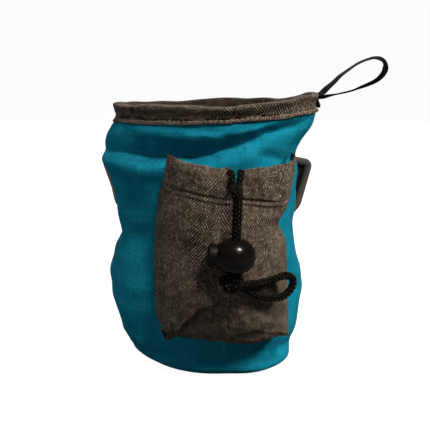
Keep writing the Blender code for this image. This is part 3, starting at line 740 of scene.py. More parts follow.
def wall(angle, level, inset, dented=True):
    """Points of the wall at arrays of angle and level. Inset is measured inwards from the outer face."""
    angle, level, inset = np.broadcast_arrays(angle, np.asarray(level, float), np.asarray(inset, float))
    half_width, half_depth, lean = curve_values(BODY_STATIONS, level)
    across, along = np.cos(angle), np.sin(angle)
    nx, ny = half_depth * across, half_width * along
    size = np.hypot(nx, ny)
    inwards = inset + (dent(angle, level) if dented else 0.0)
    x = half_width * across - inwards * nx / size
    y = half_depth * along - inwards * ny / size
    px, py = x / half_width, y / half_depth
    bend = RIM_RISE * px + RIM_DIP * (px**2 - py**2 - py)
    # The rim sags in front, and its right end leans back in
    upper = smooth_step((level - BAND_FOOT) / 12.0)
    front_sag = 2.7 * bump_at(px, -0.05, 0.5) * smooth_step(-py / 0.6)
    back_sag = 2.4 * bump_at(px, 0.72, 0.4) * smooth_step(py / 0.5 + 0.2)
    sag = upper * (front_sag + back_sag)
    sag = sag + 1.8 * upper * smooth_step((px - 0.6) / 0.35)
    shift = 6.6 * smooth_step((level - 155.0) / 14.0) * np.maximum(across, 0) ** 2
    return np.stack((lean + x - shift, y, level - sag + bend * smooth_step((level - 130) / 40)), -1)


def body_depth(x, z):
    """How far the plain wall stands from the middle plane, at a place seen from the front."""
    half_width, half_depth, lean = curve_values(BODY_STATIONS, z)
    across = np.clip(np.abs(x - lean) / half_width, 0, 1)
    return half_depth * np.sqrt(1 - across**2)


def profile_grid(profile, dented):
    """Levels and insets of a closed profile, and the wall's points there, all round."""
    levels, insets = (np.array([row[k] for row in profile]) for k in (0, 1))
    return levels, insets, wall(ANGLES[:, None], levels[None, :], insets[None, :], dented)


def closed_ring(name, grid, levels, insets, turned=False):
    """A closed grid as a mesh. A doubled row and column keep the weave whole where its ends meet."""
    rows, columns = grid.shape[:2]
    u = np.arange(rows + 1) / rows * 2 * math.pi * GIRTH_RADIUS
    v = summed(np.hypot(np.diff(levels), np.diff(insets)))
    v = np.append(v, v[-1] + 0.5)
    grid = np.concatenate((grid, grid[:1]))
    grid = np.concatenate((grid, grid[:, :1]), axis=1)
    uvs = grid_uvs(u, v)
    made = mesh_object(name, grid.reshape(-1, 3), grid_faces(rows + 1, columns + 1, False, False),
                       uvs[:, ::-1] if turned else uvs)
    clean_faces(made.data, weld=1e-7)
    made.data.shade_smooth()
    return made


def stitch_row(name, path, normals, length=2.1, gap=1.0, radius=0.24):
    """A row of stitches along a path on cloth, whose outward way is one or one for each point."""
    total = step_sums(path)
    normals = np.broadcast_to(normals, path.shape)
    turns = full_turn(STITCH_SIDES)
    points, faces = [], []
    shares = np.linspace(0, 1, 7)
    sizes = np.sqrt(np.clip(1 - (2 * shares - 1) ** 4, 0.05, 1))
    rises = np.sin(shares * math.pi) * 1.2 - 0.55
    for start in np.arange(gap / 2, total[-1] - length, length + gap):
        at = start + shares * length
        centre = np.stack([np.interp(at, total, column) for column in path.T], 1)
        normal = np.stack([np.interp(at, total, column) for column in normals.T], 1)
        normal /= np.linalg.norm(normal, axis=1)[:, None]
        side = np.cross(unit(centre[-1] - centre[0]), normal)
        base = len(points)
        for k, (size, rise) in enumerate(zip(sizes, rises)):
            middle = centre[k] + normal[k] * (0.12 + rise * radius)
            for turn in turns:
                offset = math.cos(turn) * normal[k] * 0.85 + math.sin(turn) * side[k] * 1.15
                points.append(middle + radius * size * offset)
        faces += grid_faces(len(shares), STITCH_SIDES, False, True, base)
        faces += [tuple(base + k for k in cap) for cap in end_caps(len(shares), STITCH_SIDES)]
    return mesh_object(name, points, faces)


def zigzag(count, size):
    """The offsets of a zigzag row of stitches."""
    return size * np.where(np.arange(count) % 2, 1, -1)


def double_disc(name, layers):
    """A thin disc from two layers of rings, which are joined at their outer edge."""
    rings, around = layers[0].shape[:2]
    count, last = rings * around, (rings - 1) * around
    faces = grid_faces(rings, around, False, True)
    faces += [tuple(k + count for k in face[::-1]) for face in faces]
    for k in range(around):
        m = (k + 1) % around
        faces.append((last + k, last + m, last + m + count, last + k + count))
    faces += [tuple(range(around)), tuple(range(count, count + around))]
    points = np.concatenate([layer.reshape(-1, 3) for layer in layers])
    return mesh_object(name, points, faces, points[:, :2] * MM)


def make_outer(canvas):
    """The canvas wall with its folds, and the base under it."""
    levels = np.concatenate((np.linspace(1.0, 30, 34), np.linspace(31, 161.5, 150)))
    outside = [(z, 0.0) for z in levels]
    inside = [(z, 1.2) for z in levels[::-2]]
    levels, insets, grid = profile_grid(outside + [(162.0, 0.6)] + inside + [(0.7, 0.6)], True)
    shell = closed_ring("outer_cloth", grid, levels, insets)
    dress(shell, canvas, "outer_side_panel")
    radii = np.concatenate((np.linspace(0.02, 0.94, 30), (0.97, 0.99, 1.0)))
    rim = wall(ANGLES, 1.2, 1.1)
    layers = []
    for top in (0.0, 1.0):
        disc = BASE_MIDDLE + (rim[None] - BASE_MIDDLE) * radii[:, None, None]
        sag = 0.35 * np.exp(-((radii / 0.75) ** 4))[:, None] * np.ones(AROUND)
        edge = np.where(radii > 0.95, (radii - 0.95) / 0.05, 0.0)[:, None]
        disc[..., 2] = 0.02 + sag + edge**2 * 0.55 + top * 0.9 * (1 - 0.5 * edge)
        layers.append(disc)
    dress(double_disc("outer_base_cloth", layers), canvas, "outer_base_panel")


def make_lining(tweed):
    """The lining just inside the canvas, and its base."""
    levels = np.concatenate((np.linspace(2.6, 30, 14), np.linspace(31, 161.5, 130)))
    slack = 2.4 * bump_at(levels, 143.0, 13.0)
    outside = [(z, 1.6 + more) for z, more in zip(levels, slack)]
    inside = [(z, 2.5 + more) for z, more in zip(levels[::-1], slack[::-1])]
    levels, insets, grid = profile_grid(outside + [(162.0, 2.1)] + inside + [(2.2, 2.1)], True)
    shell = closed_ring("lining_cloth", grid, levels, insets)
    dress(shell, tweed, "lining_side_panel")
    radii = np.linspace(0.02, 1.0, 30)
    rim = wall(ANGLES[::4], 2.6, 3.0)
    disc = BASE_MIDDLE + (rim[None] - BASE_MIDDLE) * radii[:, None, None]
    ripple = 0.4 * waves(21, 10, disc[..., 0], disc[..., 1], 15, 40) * (1 - radii[:, None] ** 4)
    layers = []
    for top in (1.7, 2.5):
        layer = disc.copy()
        layer[..., 2] = top + (0.25 + 0.5 * (ripple + 0.8)) * (1 if top > 2 else 0.3)
        layers.append(layer)
    dress(double_disc("lining_base_cloth", layers), tweed, "lining_base_panel")


def make_rim(tweed, painted_shade_tweed, thread):
    """The lining folded out over the stiff hoop, with a hem that is stitched down."""
    foot, top = BAND_FOOT, RIM_TOP
    outer = [
        (foot + 0.1, -0.3), (foot - 0.2, -0.7), (foot, -1.3), (foot + 0.4, -1.6), (foot + 1.0, -1.55),
        (foot + 1.5, -1.1), (foot + 1.9, -0.6), (foot + 2.5, -0.5), (foot + 4.0, -0.55), (foot + 6.0, -1.0),
        (foot + 8.0, -1.65), (foot + 9.6, -2.3), (foot + 10.6, -2.6), (foot + 11.3, -2.45),
        (foot + 11.9, -1.7), (top + 0.1, -0.6), (top + 0.25, 0.5), (top + 0.2, 1.7), (top - 0.1, 2.7),
        (top - 0.8, 3.5),
        (top - 1.6, 3.95), (top - 3.0, 4.1), (top - 6.0, 4.1), (top - 8.5, 4.0), (foot + 1.5, 3.95),
        (foot + 0.3, 3.9), (foot, 3.5), (foot + 0.2, 2.85),
    ]
    back = [(top - 4.0, 2.8), (top - 1.7, 2.75), (top - 1.4, 1.4), (top - 1.6, -0.25), (top - 4.0, -0.3)]
    levels, insets, grid = profile_grid(outer + back, False)
    # The hem's edge wanders a little, and the face pads out and in between stitches.
    around = (ANGLES + 5.0)[:, None] * GIRTH_RADIUS
    normal = wall(ANGLES, 165.0, -1.0, False) - wall(ANGLES, 165.0, 0.0, False)
    face = (insets < -0.45)[None, :] & (levels > foot)[None, :]
    # The front's face leans out towards the top
    upper = smooth_step((levels - foot - 3) / 8)[None, :]
    lean = smooth_step((0.75 - np.cos(ANGLES)) / 0.6)[:, None] * upper
    grid += (1.5 * lean * smooth_step((1.5 - insets) / 3))[..., None] * normal[:, None, :]
    swell = 0.16 * waves(31, 12, around, levels[None, :] * 2.0, 9.0, 30.0)
    swell = swell + 0.1 * waves(32, 10, around, 0, 3.0, 7.0)
    grid += (swell * face)[..., None] * normal[:, None, :]
    wander = 0.22 * waves(33, 8, around, 0 * around, 20.0, 70.0)
    grid[..., 2] += wander * np.exp(-((levels - foot) / 4.0) ** 2)[None, :]
    crest = 0.35 * waves(34, 8, around, 0 * around, 18.0, 80.0)
    grid[..., 2] += crest * smooth_step((levels - (top - 5)) / 5)[None, :]
    band = closed_ring("rim_band_cloth", grid, levels, insets, turned=True)
    add_modifier(band, "SUBSURF", levels=1, render_levels=1)
    apply_modifiers(band)
    dress(band, tweed, "rim_band")
    band.data.materials.append(painted_shade_tweed)
    # The turned-in side gets the darker copy of the tweed, painted shade for the dim inside of the mouth
    middle = grid[:, :, :2].mean(axis=(0, 1)) * MM
    for face in band.data.polygons:
        out = np.array(face.center[:2]) - middle
        if np.dot(out, face.normal[:2]) < -0.3 * np.linalg.norm(out):
            face.material_index = 1
    # The stitches that hold the hem down follow its wandering edge
    fine = np.linspace(0, 2 * math.pi, 1200)
    path, out = (wall(fine, foot + 1.95, inset, False) for inset in (-0.8, -1.8))
    path[:, 2] += np.interp(fine, ANGLES % (2 * math.pi), wander[:, 0], period=2 * math.pi) * 0.7
    dress(stitch_row("rim_stitches_outer", path, out - path, 2.2, 0.9, 0.27), thread)


def make_hoop(stiffener):
    """The flat strip that keeps the mouth open."""
    section = [(163.0, 0.6), (162.8, 1.2), (163.0, 1.8), (166.0, 1.9)]
    section += [(167.8, 1.8), (168.0, 1.2), (167.8, 0.6), (166.0, 0.5)]
    grid = profile_grid(section, False)[2]
    hoop = grid_object("rim_hoop_strip", grid, wrap_rows=True)
    dress(hoop, stiffener, "rim_hoop")


# ---- Ribbon ----
def strip_grid(path, across, width, thick, edge=0.35, count=9):
    """The closed section of a ribbon or strap, rounded at its edges, along a path."""
    ways = path_ways(path)
    across = np.asarray(across, float)
    across = across - (across * ways).sum(1)[:, None] * ways
    across /= np.linalg.norm(across, axis=1)[:, None]
    through = np.cross(ways, across)
    half, deep = width / 2, thick / 2
    xs = np.linspace(-half + edge, half - edge, count)
    near, low = half - edge * 0.3, deep * 0.8
    section = [(x, deep) for x in xs] + [(near, low), (half, 0), (near, -low)]
    section += [(x, -deep) for x in xs[::-1]] + [(-near, -low), (-half, 0), (-near, low)]
    section = np.array(section)[None]
    return path[:, None] + section[..., :1] * across[:, None] + section[..., 1:] * through[:, None]


def joint_place(frame, name):
    """Where a joint is, in mm."""
    joints = frame["record"]["behaviour"]["joints"]
    return np.array(next(joint for joint in joints if joint["name"] == name)["pos_m"]) / MM


RIBBON_WIDTH, RIBBON_THICK = 8.0, 0.7
# The loop's path from its hinge, outwards and up
RIBBON_LOOP = (
    (-8.4, -5.0), (-5.0, -3.0), (-1.2, 0.6), (3.4, 4.5), (7.6, 8.5), (13.1, 12.4), (19.4, 16.4),
    (25.0, 18.8), (31.0, 20.2), (36.6, 19.2), (39.2, 16.2), (39.2, 12.2), (36.6, 8.2), (31.0, 4.3),
    (21.2, 0.6), (15.6, -1.4), (5.8, -3.5), (-1.9, -5.0), (-8.2, -5.8),
)
# How far the loop is turned about its path: share of its length, and degrees
RIBBON_TURNS = (
    (0.0, 10), (0.06, 12), (0.16, 2), (0.28, -4), (0.4, 4), (0.53, 52), (0.64, 28), (0.78, 12), (0.88, 8),
    (0.95, 20), (1.0, 14),
)


def make_ribbon(frame, ribbon, thread):
    """The hanging loop, its foot on the rim, and the tack that holds it."""
    angle = math.radians(-4)
    foot_path = [wall(np.array(angle), RIM_TOP - drop, -2.6, False) for drop in (10.5, 6.5, 2.5)]
    tip = wall(np.array(angle), RIM_TOP - 0.2, -2.9, False)
    hinge = joint_place(frame, "ribbon_flip")
    root = hinge + (-8.0, 0, -5.4)
    path = curve_through([*foot_path, tip, root + (0.4, 0, 0.2)], 0.8)
    path += np.array((0.35, 0, 0))
    grid = strip_grid(path, (0.0, 1.0, 0.0), RIBBON_WIDTH, 2 * RIBBON_THICK)
    foot = capped("ribbon_foot_cloth", grid)
    dress(foot, ribbon, "ribbon_foot")
    path = curve_through([hinge + (x, 0, z) for x, z in RIBBON_LOOP], 0.8)
    turn = np.radians(np.interp(np.linspace(0, 1, len(path)), *zip(*RIBBON_TURNS)))
    level = np.cross(path_ways(path), (0, 1, 0))
    across = np.cos(turn)[:, None] * np.array((0.0, 1, 0)) + np.sin(turn)[:, None] * level
    grid = strip_grid(path, across, RIBBON_WIDTH, RIBBON_THICK)
    loop = capped("ribbon_loop_cloth", grid)
    dress(loop, ribbon, "ribbon_loop", body=None)
    blend_along(loop)
    rows, points = [], 14
    for drop in (9.4, 8.6, 7.8):
        x, y, z = wall(np.array(angle), RIM_TOP - drop, -3.75, False)
        path = np.stack((np.full(points, x), y + np.linspace(-3.2, 3.2, points), z + zigzag(points, 0.25)), 1)
        rows.append(stitch_row("row", path, (1.0, 0, 0), 0.9, 0.1, 0.22))
    dress(joined("ribbon_tack_stitches", rows), thread)


# ---- Braided cord ----
def strand_height(across, along):
    """A round strand's height, from 0 to 1, as it passes over and under the others."""
    return np.sqrt(np.clip(1 - (2 * across - 1) ** 2, 0, 1)) * (0.5 + 0.5 * np.sin(math.pi * along))


def braid(name, path, radius, material, spin=0.0):
    """A round cord whose surface is two sets of strands crossing over and under."""
    strands, pitch, sides = 4, 2.3, 40
    path = respaced(path, 0.22)
    share = strands * full_turn(sides)[None, :] / (2 * math.pi)
    along = step_sums(path)[:, None] / pitch
    u = share + along + spin
    v = share - along
    i, j = np.floor(u), np.floor(v)
    first = strand_height(u - i, v - i)
    second = strand_height(v - j, u - j - 1)
    height = np.maximum(first, second)
    size = (radius - 0.75) + 0.95 * height
    made = capped(name, tube(path, size[..., None], sides))
    # The strand heights are kept for the cord's painted highlights
    made.data.attributes.new("strand", "FLOAT", "POINT").data.foreach_set("value", height.ravel())
    dress(made, material, body=None)
    return made


def pocket_front(x, z):
    """Y of the CAD's pocket, which bulges from the wall on both sides."""
    half, centre, stand = curve_values(POCKET_STATIONS, z)
    across = np.clip(np.abs(x - centre) / half, 0, 1)
    side = np.sign(x - centre) * (half - 2.0) + centre
    edge = body_depth(side, z) + 0.6
    bulge = np.sqrt(1 - across**2.6)
    return -(edge + (stand - edge) * bulge)


# How the hem's top edge waves: sideways place and rise
HEM_TOP = np.array(
    ((-34, 0.0), (-16, -2.1), (-4, -1.6), (2, -0.6), (9, -1.8), (22, -1.4), (34, -0.4), (48, 2.0))
)
# The tail loop's path from the middle of the knot
TAIL_LOOP = (
    (3.4, -2.0, -0.6), (6.6, -1.2, -1.2), (10.5, 0.6, -1.6), (17.0, 3.6, -2.2), (23.4, 5.6, -1.4),
    (29.4, 7.2, -0.3), (33.8, 8.3, -0.3), (37.2, 9.1, -3.3), (36.2, 8.9, -8.0), (32.0, 7.8, -11.6),
    (26.0, 6.4, -12.6), (18.6, 5.2, -11.0), (12.4, 4.0, -7.8), (7.4, 2.3, -4.2), (3.4, 1.4, -2.4),
)


def raise_hem(points):
    """The hem's left end stands higher than its middle, and the seam under it slopes down to the right."""
    points = np.array(points, float)
    x, z = points[..., 0], points[..., 2]
    rise = HEM_RISE * smooth_step((2.0 - x) / 36) * smooth_step((z - 80) / 38)
    rise -= 4.0 * smooth_step((x - 2) / 34) * bump_at(z, 117.0, 11.0)
    rise += np.interp(x, HEM_TOP[:, 0], HEM_TOP[:, 1]) * smooth_step((z - 126) / 9)
    points[..., 2] = z + rise
    return points


def casing_points(x, ahead, z):
    """Points of the casing: sideways place, how far they stand ahead of the cord, and height."""
    x, ahead, z = np.broadcast_arrays(np.asarray(x, float), np.asarray(ahead, float), np.asarray(z, float))
    level = np.full(x.shape, CORD_LEVEL)
    y = pocket_front(x, level)
    slope = pocket_front(x + 0.5, level) - pocket_front(x - 0.5, level)
    size = np.hypot(slope, 1.0)
    return raise_hem(np.stack((x + slope / size * ahead, y - ahead / size, z), -1))


def make_cords(cord):
    """The two runs through the casing, the slit and the lock, then the knot and the loop below it."""
    exit_y = float(casing_points(SLIT_X, 0, CORD_LEVEL)[1])
    half, centre = (float(curve_value(POCKET_STATIONS, np.array(CORD_LEVEL), k)) for k in (1, 2))
    for side, word in ((-1, "left"), (1, "right")):
        far = centre + half * 0.62 * side
        inside = [casing_points(x, 0, CORD_LEVEL) for x in np.linspace(far, SLIT_X + side * 5.2, 5)]
        middle = [
            (np.array((SLIT_X + 0.6, exit_y - 1.6, CORD_LEVEL + 1.6)), 3.0, 0),
            (np.array((SLIT_X + 0.3, exit_y - 4.4, CORD_LEVEL - 0.8)), 2.3, 4),
            (np.array((SLIT_X - 0.6, exit_y - 6.2, CORD_LEVEL - 5.0)), 2.05, 24),
            (LOCK_CENTRE + CORD_WAY * 33.5 + (-0.4, 1.0, 0.0), 2.05, 62),
        ]
        middle += [(LOCK_CENTRE + CORD_WAY * reach, 2.15, 84) for reach in (29, 24, 15, 0, -9.7)]
        outside = []
        for point, reach, turn in middle:
            turn = math.radians(turn)
            outside.append(point + side * reach * np.array((math.cos(turn), -math.sin(turn), 0.0)))
        path = curve_through(inside + outside, 0.3)
        run = braid(f"drawcord_{word}_braid", path, CORD_RADIUS, cord, 0.3 * side)
        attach(run, "pocket")
        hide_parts(f"drawcord_{word}_run")
    path = curve_through([KNOT_CENTRE + place for place in TAIL_LOOP], 0.3)
    loop = braid("tail_loop_braid", path, CORD_RADIUS + 0.2, cord)
    blend_along(loop)
    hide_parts("drawcord_tail_loop")
    # The knot is a trefoil drawn tight
    t = np.linspace(0.0, 2 * math.pi, 240)
    shift = math.radians(25)
    flat = 2 + np.cos(3 * t)
    x, y, z = flat * np.cos(2 * t + shift), flat * np.sin(2 * t + shift), np.sin(3 * t)
    knot_path = KNOT_CENTRE + (-0.5, 0, -0.2) + np.stack((x * 1.78, z * 2.1, y * 1.5), 1)
    knot = braid("knot_braid", knot_path, 1.95, cord)
    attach(knot, "pocket")
    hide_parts("drawcord_knot")


# ---- Cord lock ----
def turned_piece(name, profile, steps):
    """A solid turned about the button's axis. The profile is a list of distance along it and radius."""
    turns = full_turn(steps)[None, :, None]
    profile = np.asarray(profile, float)
    ring = np.cos(turns) * SIDE_WAY + np.sin(turns) * np.cross(BUTTON_WAY, SIDE_WAY)
    grid = LOCK_CENTRE + profile[:, :1, None] * BUTTON_WAY + profile[:, 1:, None] * ring
    return capped(name, grid)


def lock_points(rows):
    """Points given along the button's way, across it, and along the cords."""
    rows = np.asarray(rows, float)
    return LOCK_CENTRE + rows[:, :1] * BUTTON_WAY + rows[:, 1:2] * SIDE_WAY + rows[:, 2:] * CORD_WAY


def box_cutter(low, high):
    """The window in the button, as a box in the lock's own directions."""
    corners = [(x, y, z) for x in (low[0], high[0]) for y in (low[1], high[1]) for z in (low[2], high[2])]
    faces = ((0, 1, 3, 2), (4, 6, 7, 5), (0, 4, 5, 1), (2, 3, 7, 6), (0, 2, 6, 4), (1, 5, 7, 3))
    return mesh_object("cutter", lock_points(corners), faces, smooth=False)


def slot_cutter(half_x, half_y, reach):
    """The slot that the cords run through, with rounded corners."""
    radius = 2.3
    points = []
    for sx, sy, start in ((1, -1, 270), (1, 1, 0), (-1, 1, 90), (-1, -1, 180)):
        for angle in np.radians(np.linspace(start, start + 90, 8)):
            points.append((sx * (half_x - radius) + radius * math.cos(angle),
                           sy * (half_y - radius) + radius * math.sin(angle)))
    grid = np.array([lock_points([(x, y, z) for x, y in points]) for z in (-reach, reach)])
    return capped("cutter", grid)


def cut(target, cutter, edge):
    """Cuts a shape from a solid, rounds the new edges and keeps the result as a plain mesh."""
    add_modifier(target, "BOOLEAN", operation="DIFFERENCE", solver="EXACT", object=cutter)
    apply_modifiers(target)
    bpy.data.objects.remove(cutter)
    round_edges(target, edge, 35)
    apply_modifiers(target)
    target.data.shade_smooth()
    target.data.set_sharp_from_angle(angle=math.radians(50))


def make_lock(plastic, dull, steel):
    """The ball, its push button and the spring between them."""
    radius, bore = 10.0, 6.45
    # The ball is longer on the button's side
    far_reach, near_reach = radius + 0.9, 12.6
    ball = []
    for t in np.radians(np.linspace(2, 140.2, 46)):
        reach = far_reach if t < math.pi / 2 else near_reach
        ball.append((-reach * math.cos(t), radius * math.sin(t)))
    mouth = [(9.75, bore + 0.2), (9.4, bore), (2.0, bore), (-6.5, bore), (-6.8, bore - 0.3), (-6.8, 3.6),
             (-8.3, 3.6), (-8.5, 3.3), (-8.5, 0.3)]
    housing = turned_piece("cord_lock_ball", ball + mouth, 72)
    cut(housing, slot_cutter(3.0, 4.5, 14.0), 0.35)
    dress(housing, plastic, "cord_lock_housing", "cord_lock")
    profile = [(-4.1, 0.3), (-4.1, 5.6), (-3.7, 6.15), (12.2, 6.15), (12.35, 6.3), (12.5, 6.7), (12.8, 6.9),
               (13.6, 6.9), (14.2, 6.7), (14.7, 6.2), (15.0, 5.5), (15.1, 5.0), (15.0, 4.6), (14.95, 4.0),
               (15.05, 2.5), (15.1, 0.2)]
    button = turned_piece("cord_lock_button", profile, 64)
    cut(button, box_cutter((-3.1, -4.5, -8.0), (5.6, 4.5, 8.0)), 0.3)
    dress(button, dull, "cord_lock_plunger", "lock_button")
    coils, steps, coil_radius = 3.5, 180, 2.9
    turns = np.linspace(0, 2 * math.pi * coils, steps)
    rise = np.linspace(-8.05, -4.6, steps)
    coil = lock_points(np.stack((rise, coil_radius * np.cos(turns), coil_radius * np.sin(turns)), 1))
    spring = capped("cord_lock_coil", tube(coil, 0.35, 12))
    dress(spring, steel, "cord_lock_spring", "cord_lock")
    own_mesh(spring)


# ---- Front pocket ----
# The fold between the pocket's face and its underside: sideways place, height and sharpness
POCKET_FOLD = np.array(
    (
        (-36, 27.5, 1.0), (-30, 36.0, 1.0), (-24, 46.0, 1.0), (-16, 56.5, 1.0), (-6, 60.0, 0.75),
        (4, 54.0, 0.3), (14, 42.0, 0.2), (26, 35.5, 0.3), (34, 32.0, 0.6), (44, 27.5, 1.0),
    )
)
# The lower edge, whose corners hang as points: share of the way across, and height
LOWER_EDGE = np.array(
    ((-1, 33.0), (-0.96, 30.8), (-0.9, 32.6), (-0.81, 34.4), (-0.66, 33.6), (-0.38, 31.8), (-0.11, 30.8),
     (0.17, 30.2), (0.36, 30.2), (0.5, 31.0), (0.62, 32.0), (0.72, 31.8), (0.86, 29.8), (0.96, 27.6),
     (1, 29.4))
)
POCKET_CREASES = (
    (-32, 78.5, -23, 72.5, 1.8, 0.8), (-23, 87, -9, 79, 1.9, 0.9), (-27, 96, -10, 92, 2.4, -0.8),
    (-30, 64, -14, 70, 2.6, -0.8), (-8, 106, 0, 84, 2.6, 0.7), (13, 84, 24, 89.5, 2.0, 3.0),
    (20, 88.5, 40, 98, 2.4, 5.0), (16, 80, 40, 90, 3.6, -1.6), (12, 110, 38, 104, 3.0, -0.8),
    (8, 66, 30, 74, 4.0, -0.8), (22, 58, 40, 52, 3.4, 0.9), (24, 45, 40, 40, 2.8, -0.9),
    (-20, 38, 0, 44, 3.5, -0.7), (4, 34, 20, 38, 3.0, 0.7),
)
# The casing's section, up its front and down its back: how far ahead of the cord, and height
CASING = (
    (-0.6, 117.2), (0.0, 117.9), (0.75, 118.6), (1.15, 119.5), (1.1, 120.6), (1.0, 122.0), (1.3, 124.0),
    (1.9, 126.2), (2.5, 128.6), (2.8, 130.8), (2.7, 132.6), (2.2, 134.2), (1.3, 135.4), (0.2, 135.9),
    (-1.0, 135.6), (-2.2, 134.4), (-3.0, 132.4), (-3.3, 130.2), (-2.8, 127.0), (-1.9, 123.0), (-1.3, 119.4),
)
# Where the weave's lengths are measured: the casing's column, and the pocket's row
CASING_MIDDLE, WIDTH_ROW = 14, 67
# The rows of the pocket's underside, and the points of its seam
UNDER_ROWS, SEAM_POINTS = 7, 400
CASING_CREASES = (
    (12, 119, 8, 133, 1.6, 0.5), (-8, 119, -3, 133, 1.8, -0.6), (-22, 120, -18, 134, 2.0, 0.5),
    (28, 119, 33, 133, 2.0, 0.6), (20, 121, 22, 132, 2.0, -0.5),
)
# How much further the pocket's lower right bulges than the CAD, by height
FULLER = np.array(
    ((27, 16.5), (30, 15.4), (34, 13.2), (40, 9.6), (48, 5.6), (58, 2.4), (70, 1.0), (90, 0.3), (118, 0.0))
)


def pocket_face(x, z):
    """Y of the pocket's outside: the CAD's bulge, with its underside's fold, creases and slack."""
    y = pocket_front(x, z)
    half, centre = curve_values(POCKET_STATIONS, z, (1, 2))
    share = (x - centre) / half
    full = np.interp(z, FULLER[:, 0], FULLER[:, 1]) * (0.8 + 0.2 * smooth_step((x + 10) / 20))
    y = y - full * np.sqrt(np.clip(1 - np.abs(share) ** 6, 0, 1))
    fold, weight = (np.interp(x, POCKET_FOLD[:, 0], POCKET_FOLD[:, k]) for k in (1, 2))
    bottom = np.full(x.shape, POCKET_FOOT)
    y_fold, y_bottom = pocket_front(x, fold), pocket_front(x, bottom) - 11.5
    t = np.clip((z - bottom) / np.maximum(fold - bottom, 1.0), 0, 1)
    flat = y_bottom + (y_fold - y_bottom) * t
    y = y + (flat - y) * weight * 0.9 * (z < fold) * smooth_step((10 - x) / 16)
    y -= 0.9 * weight * bump_at(z, fold, 2.0) * smooth_step((1 - np.abs(share)) / 0.08)
    inner = smooth_step((1 - np.abs(share)) / 0.2) * smooth_step((z - 27.5) / 6.0)
    soft = 0.5 * waves(41, 14, x, z, 16.0, 46.0) + 0.22 * waves(42, 16, x, z, 6.0, 14.0)
    soft = add_creases(soft, POCKET_CREASES, x, z)
    corner = bump_at(np.abs(share), 0.95, 0.06) * bump_at(z, POCKET_FOOT, 5.0)
    return y + inner * soft - 1.4 * corner


def seam_path():
    """The stitched seam under the casing, on the cloth's surface."""
    half, centre = (float(curve_value(POCKET_STATIONS, np.array(SEAM_LEVEL), k)) for k in (1, 2))
    x = np.linspace(centre - half + 0.8, centre + half - 0.8, SEAM_POINTS)
    level = np.full(SEAM_POINTS, SEAM_LEVEL)
    return raise_hem(np.stack((x, pocket_face(x, level), level), 1))


def make_pocket_panel(tweed):
    """The pocket's face and underside as one cloth, from the body's side of the foot up to the seam."""
    levels = np.concatenate((np.linspace(27, 44, 30), np.linspace(45, 117.7, 110)))
    shares = np.sin(np.linspace(-math.pi / 2, math.pi / 2, 130))
    half, centre = curve_values(POCKET_STATIONS, levels, (1, 2))
    x = centre[:, None] + half[:, None] * shares[None, :]
    z = np.broadcast_to(levels[:, None], x.shape)
    y = pocket_face(x, z)
    # The cloth swells and dips along the seam
    y = y - 0.8 * bump_at(z, 116.0, 0.9) + 0.5 * bump_at(z, 114.3, 0.6)
    y = y + 0.5 * smooth_step((z - 116.6) / 1.1)
    edge = np.interp(shares, LOWER_EDGE[:, 0], LOWER_EDGE[:, 1]) - POCKET_FOOT
    drop = edge[None, :] * smooth_step((42 - z) / 15)
    outer = np.stack((x, y, z + drop), -1)
    # The underside runs back from the lower edge to the body
    lip = outer[:1]
    seat = lip.copy()
    seat[..., 2] += 2.2
    seat[..., 1] = np.maximum(lip[..., 1], -(body_depth(lip[..., 0], seat[..., 2]) + 1.2))
    steps = np.linspace(0, 1, UNDER_ROWS + 1)[:-1, None, None]
    under = seat + (lip - seat) * steps
    under[..., 2] -= 0.8 * np.sin(steps[..., 0] * math.pi)
    outer = np.concatenate((under, outer))
    below = np.linspace(20, 26, UNDER_ROWS)
    z = np.concatenate((np.broadcast_to(below[:, None], (UNDER_ROWS, z.shape[1])), z))
    rows, count = outer.shape[:2]
    normal = np.cross(np.gradient(outer, axis=1), np.gradient(outer, axis=0))
    normal /= np.maximum(np.linalg.norm(normal, axis=2), 1e-9)[..., None]
    if normal[rows // 2, count // 2, 1] > 0:
        normal = -normal
    inner = outer - normal * 1.1
    grid = np.concatenate((raise_hem(outer), raise_hem(inner)[:, ::-1]), axis=1)
    across = np.broadcast_to(step_sums(outer[WIDTH_ROW]), z.shape)
    uvs = cloth_uvs(np.concatenate((z, z), 1), np.concatenate((across, across[:, ::-1]), 1))
    faces = grid_faces(rows, 2 * count, False, True)
    for base in (0, (rows - 1) * 2 * count):
        for k in range(count - 1):
            faces.append((base + k, base + k + 1, base + 2 * count - 2 - k, base + 2 * count - 1 - k))
    panel = mesh_object("pocket_cloth", grid.reshape(-1, 3), faces, uvs)
    dress(panel, tweed, "pocket_panel", body=None)
    pin(panel)


